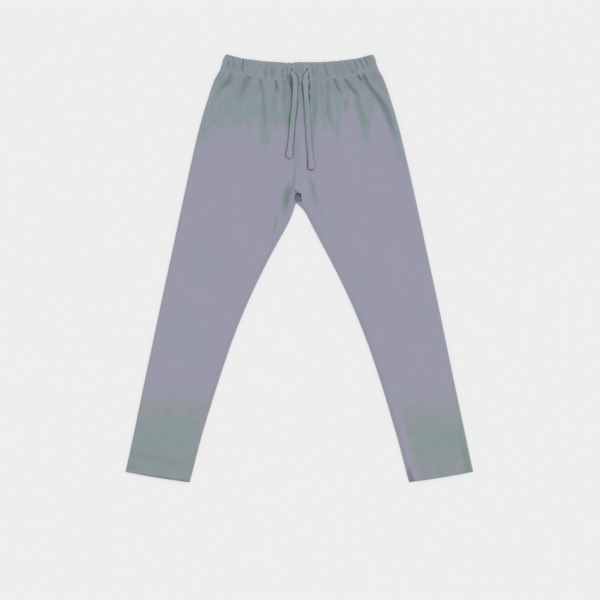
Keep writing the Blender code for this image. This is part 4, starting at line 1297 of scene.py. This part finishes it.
class Shader:
    """A material whose Principled shader is fed by expressions."""

    def __init__(self, name):
        self.material = bpy.data.materials.new(name)
        self.material.use_nodes = True
        self.tree = self.material.node_tree
        self.surface = self.tree.nodes["Principled BSDF"]

    def fill(self, node, inputs):
        """Set a node's inputs to values, or link them."""
        for key, value in dict(inputs).items():
            if isinstance(value, Value):
                self.tree.links.new(value.socket, node.inputs[key])
            else:
                node.inputs[key].default_value = value

    def node(self, kind, settings=(), inputs=(), output=0):
        """A node of this kind with its settings and inputs, as one of its outputs."""
        made = self.tree.nodes.new(kind)
        for key, value in dict(settings).items():
            setattr(made, key, value)
        self.fill(made, inputs)
        return Value(self, made.outputs[output])

    def maths(self, operation, *values):
        return self.node("ShaderNodeMath", {"operation": operation}, enumerate(values))

    def mix(self, share, first, second):
        """first where share is 0 and second where it is 1, as colours."""
        inputs = {"Factor": share, 6: first, 7: second}
        return self.node("ShaderNodeMix", {"data_type": "RGBA"}, inputs, 2)

    def feed(self, inputs):
        self.fill(self.surface, inputs)


def rgba(colour, share=1.0):
    return (*(channel * share for channel in colour), 1)


def attribute(shader, name, output):
    return shader.node("ShaderNodeAttribute", {"attribute_name": name}, output=output)


def noise(shader, place, scale, detail):
    return shader.node("ShaderNodeTexNoise", inputs={"Vector": place, "Scale": scale, "Detail": detail})


def bump(shader, strength, distance, height):
    inputs = {"Strength": strength, "Distance": distance, "Height": height}
    return shader.node("ShaderNodeBump", inputs=inputs)


def knit_height(shader, across, along):
    """Columns of small V stitches, from 0 in the gaps to 1 on the yarn."""
    column = shader.maths("FRACT", across / WALE)
    off_middle = shader.maths("ABSOLUTE", column - 0.5)
    slanted = along / COURSE + off_middle * 1.1
    bead = shader.maths("SINE", slanted * (2 * math.pi)) * 0.5 + 0.5
    leg = shader.maths("SINE", off_middle * (2 * math.pi))
    return bead * leg * 0.6 + leg * 0.4


def jersey_material(name, wear):
    """Soft matt cotton jersey: columns of stitches, fuzz, a slow drift of tone, and painted shade in folds
    and hollows.
    """
    shader = Shader(name)
    cloth = attribute(shader, "cloth", 1)
    tone = attribute(shader, "tone", 2)
    painted_shade = attribute(shader, "painted_shade", 2)
    across, along = (shader.node("ShaderNodeSeparateXYZ", inputs={0: cloth}, output=k) for k in (0, 1))
    knit = knit_height(shader, across, along)
    drift = noise(shader, cloth, 9.0, 2.0)
    fuzz = noise(shader, cloth, 900.0, 3.0)
    yarn = noise(shader, cloth, 260.0, 2.0)

    # the tone's border runs out in streaks at the waist, and in blotches at the shins
    drawn_out = shader.node("ShaderNodeVectorMath", {"operation": "MULTIPLY"}, {0: cloth, 1: (1, 0.25, 1)})
    streaks = noise(shader, drawn_out, 170.0, 3.0)
    blotches = noise(shader, cloth, 75.0, 4.0)
    at_waist = shader.maths("GREATER_THAN", along, 0.0)
    patches = blotches + (streaks - blotches) * at_waist
    cooler = tone * ((patches - 0.5) * (1.45 - tone) * 6.0 + 1.05) + (drift - 0.5) * 0.15
    toned = shader.mix(cooler, rgba(JERSEY_COLOUR), rgba(SHADE_COLOUR))
    greyed = tone * (1.06 - tone) * (0.75 - patches) * (1 - at_waist) * 5.0
    toned = shader.mix(greyed, toned, rgba(GREY_COLOUR))
    # painted shade deepens the colour where the attribute read above is high
    base = shader.mix(painted_shade * PAINTED_SHADE_SHARE, toned, rgba(JERSEY_COLOUR, 0.1))
    # painted shade in the gaps between the knit's stitches, and the random tone of the yarn
    darker = shader.mix((1 - knit) * 0.10 + (yarn - 0.5) * 0.10, base, rgba(SHADE_COLOUR, 0.55))
    shader.feed({
        "Base Color": shader.mix((fuzz - 0.45) * wear, darker, rgba(JERSEY_COLOUR, 1.5)),
        "Roughness": fuzz * 0.12 + 0.84,
        "Normal": bump(shader, 0.55, 0.16 * MM, knit * 0.7 + fuzz * 0.35 + yarn * 0.3),
        "Sheen Weight": 0.10,
        "Sheen Roughness": 0.55,
        "Specular IOR Level": 0.25,
    })
    return shader.material


def thread_material():
    """Spun polyester thread in the cloth's own colour, twisted, with a slight gloss."""
    shader = Shader("sewing_thread")
    twist = noise(shader, shader.node("ShaderNodeTexCoord", output=3), 2200.0, 1.0)
    shader.feed({
        "Base Color": shader.mix(twist, rgba(THREAD_COLOUR, 0.86), rgba(THREAD_COLOUR, 1.14)),
        "Roughness": twist * 0.15 + 0.5,
        "Normal": bump(shader, 0.4, 0.08 * MM, twist),
    })
    return shader.material


def floor_material():
    shader = Shader("pale_floor")
    shader.feed({
        "Base Color": rgba(FLOOR_COLOUR, 1 - FLOOR_GLOW),
        "Emission Color": rgba(FLOOR_COLOUR),
        "Emission Strength": FLOOR_GLOW,
        "Roughness": 1.0,
        "Specular IOR Level": 0.0,
    })
    return shader.material


# ---------------------------------------------------------------- stage


def make_floor():
    half = FLOOR_HALF
    corners = [(-half, -half, 0), (half, -half, 0), (half, half, 0), (-half, half, 0)]
    floor = new_object("floor", new_mesh("floor", corners, [(0, 1, 2, 3)], floor_material()))


def make_lights():
    sun = bpy.data.lights.new("softbox", "SUN")
    sun.energy = SUN_STRENGTH
    sun.angle = SUN_ANGLE
    new_object("softbox", sun).rotation_euler = Vector(SUN_DIRECTION).to_track_quat("Z", "Y").to_euler()
    world = bpy.data.worlds.new("studio")
    world.use_nodes = True
    background = world.node_tree.nodes["Background"]
    background.inputs["Color"].default_value = (1, 1, 1, 1)
    background.inputs["Strength"].default_value = SKY_STRENGTH
    bpy.context.scene.world = world


def make_camera():
    data = bpy.data.cameras.new("camera")
    data.lens = LENS
    data.sensor_width = SENSOR
    camera = new_object("camera", data)
    camera.location = (*VIEW_CENTRE, GARMENT_MIDDLE_Z + CAMERA_HEIGHT)
    bpy.context.scene.camera = camera


# ---------------------------------------------------------------- the garment

bpy.context.scene.view_settings.view_transform = "Standard"
make_camera()
make_lights()
make_floor()

jersey = jersey_material("slate_jersey", 0.10)
tie_jersey = jersey_material("tie_jersey", 0.12)
thread = thread_material()

for name in ("right_tie", "left_tie"):
    ribbon, end_stitches, centres = make_tie(name, tie_jersey, thread)
    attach(ribbon, "root")
    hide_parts(name)
    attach(end_stitches, "root")

hem_rows = []
for name in ("right_leg", "left_leg"):
    leg = make_leg(name, jersey)
    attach(leg, "root")
    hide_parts(name)
    hem_rows += hem_stitches(name)

waistband = make_waistband(jersey)
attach(waistband, "root")
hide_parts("waistband")

for name, stitches in (("hem_stitches", hem_rows), ("buttonhole_stitches", buttonhole_stitches())):
    sewing = thread_mesh(name, stitches, thread)
    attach(sewing, "root")
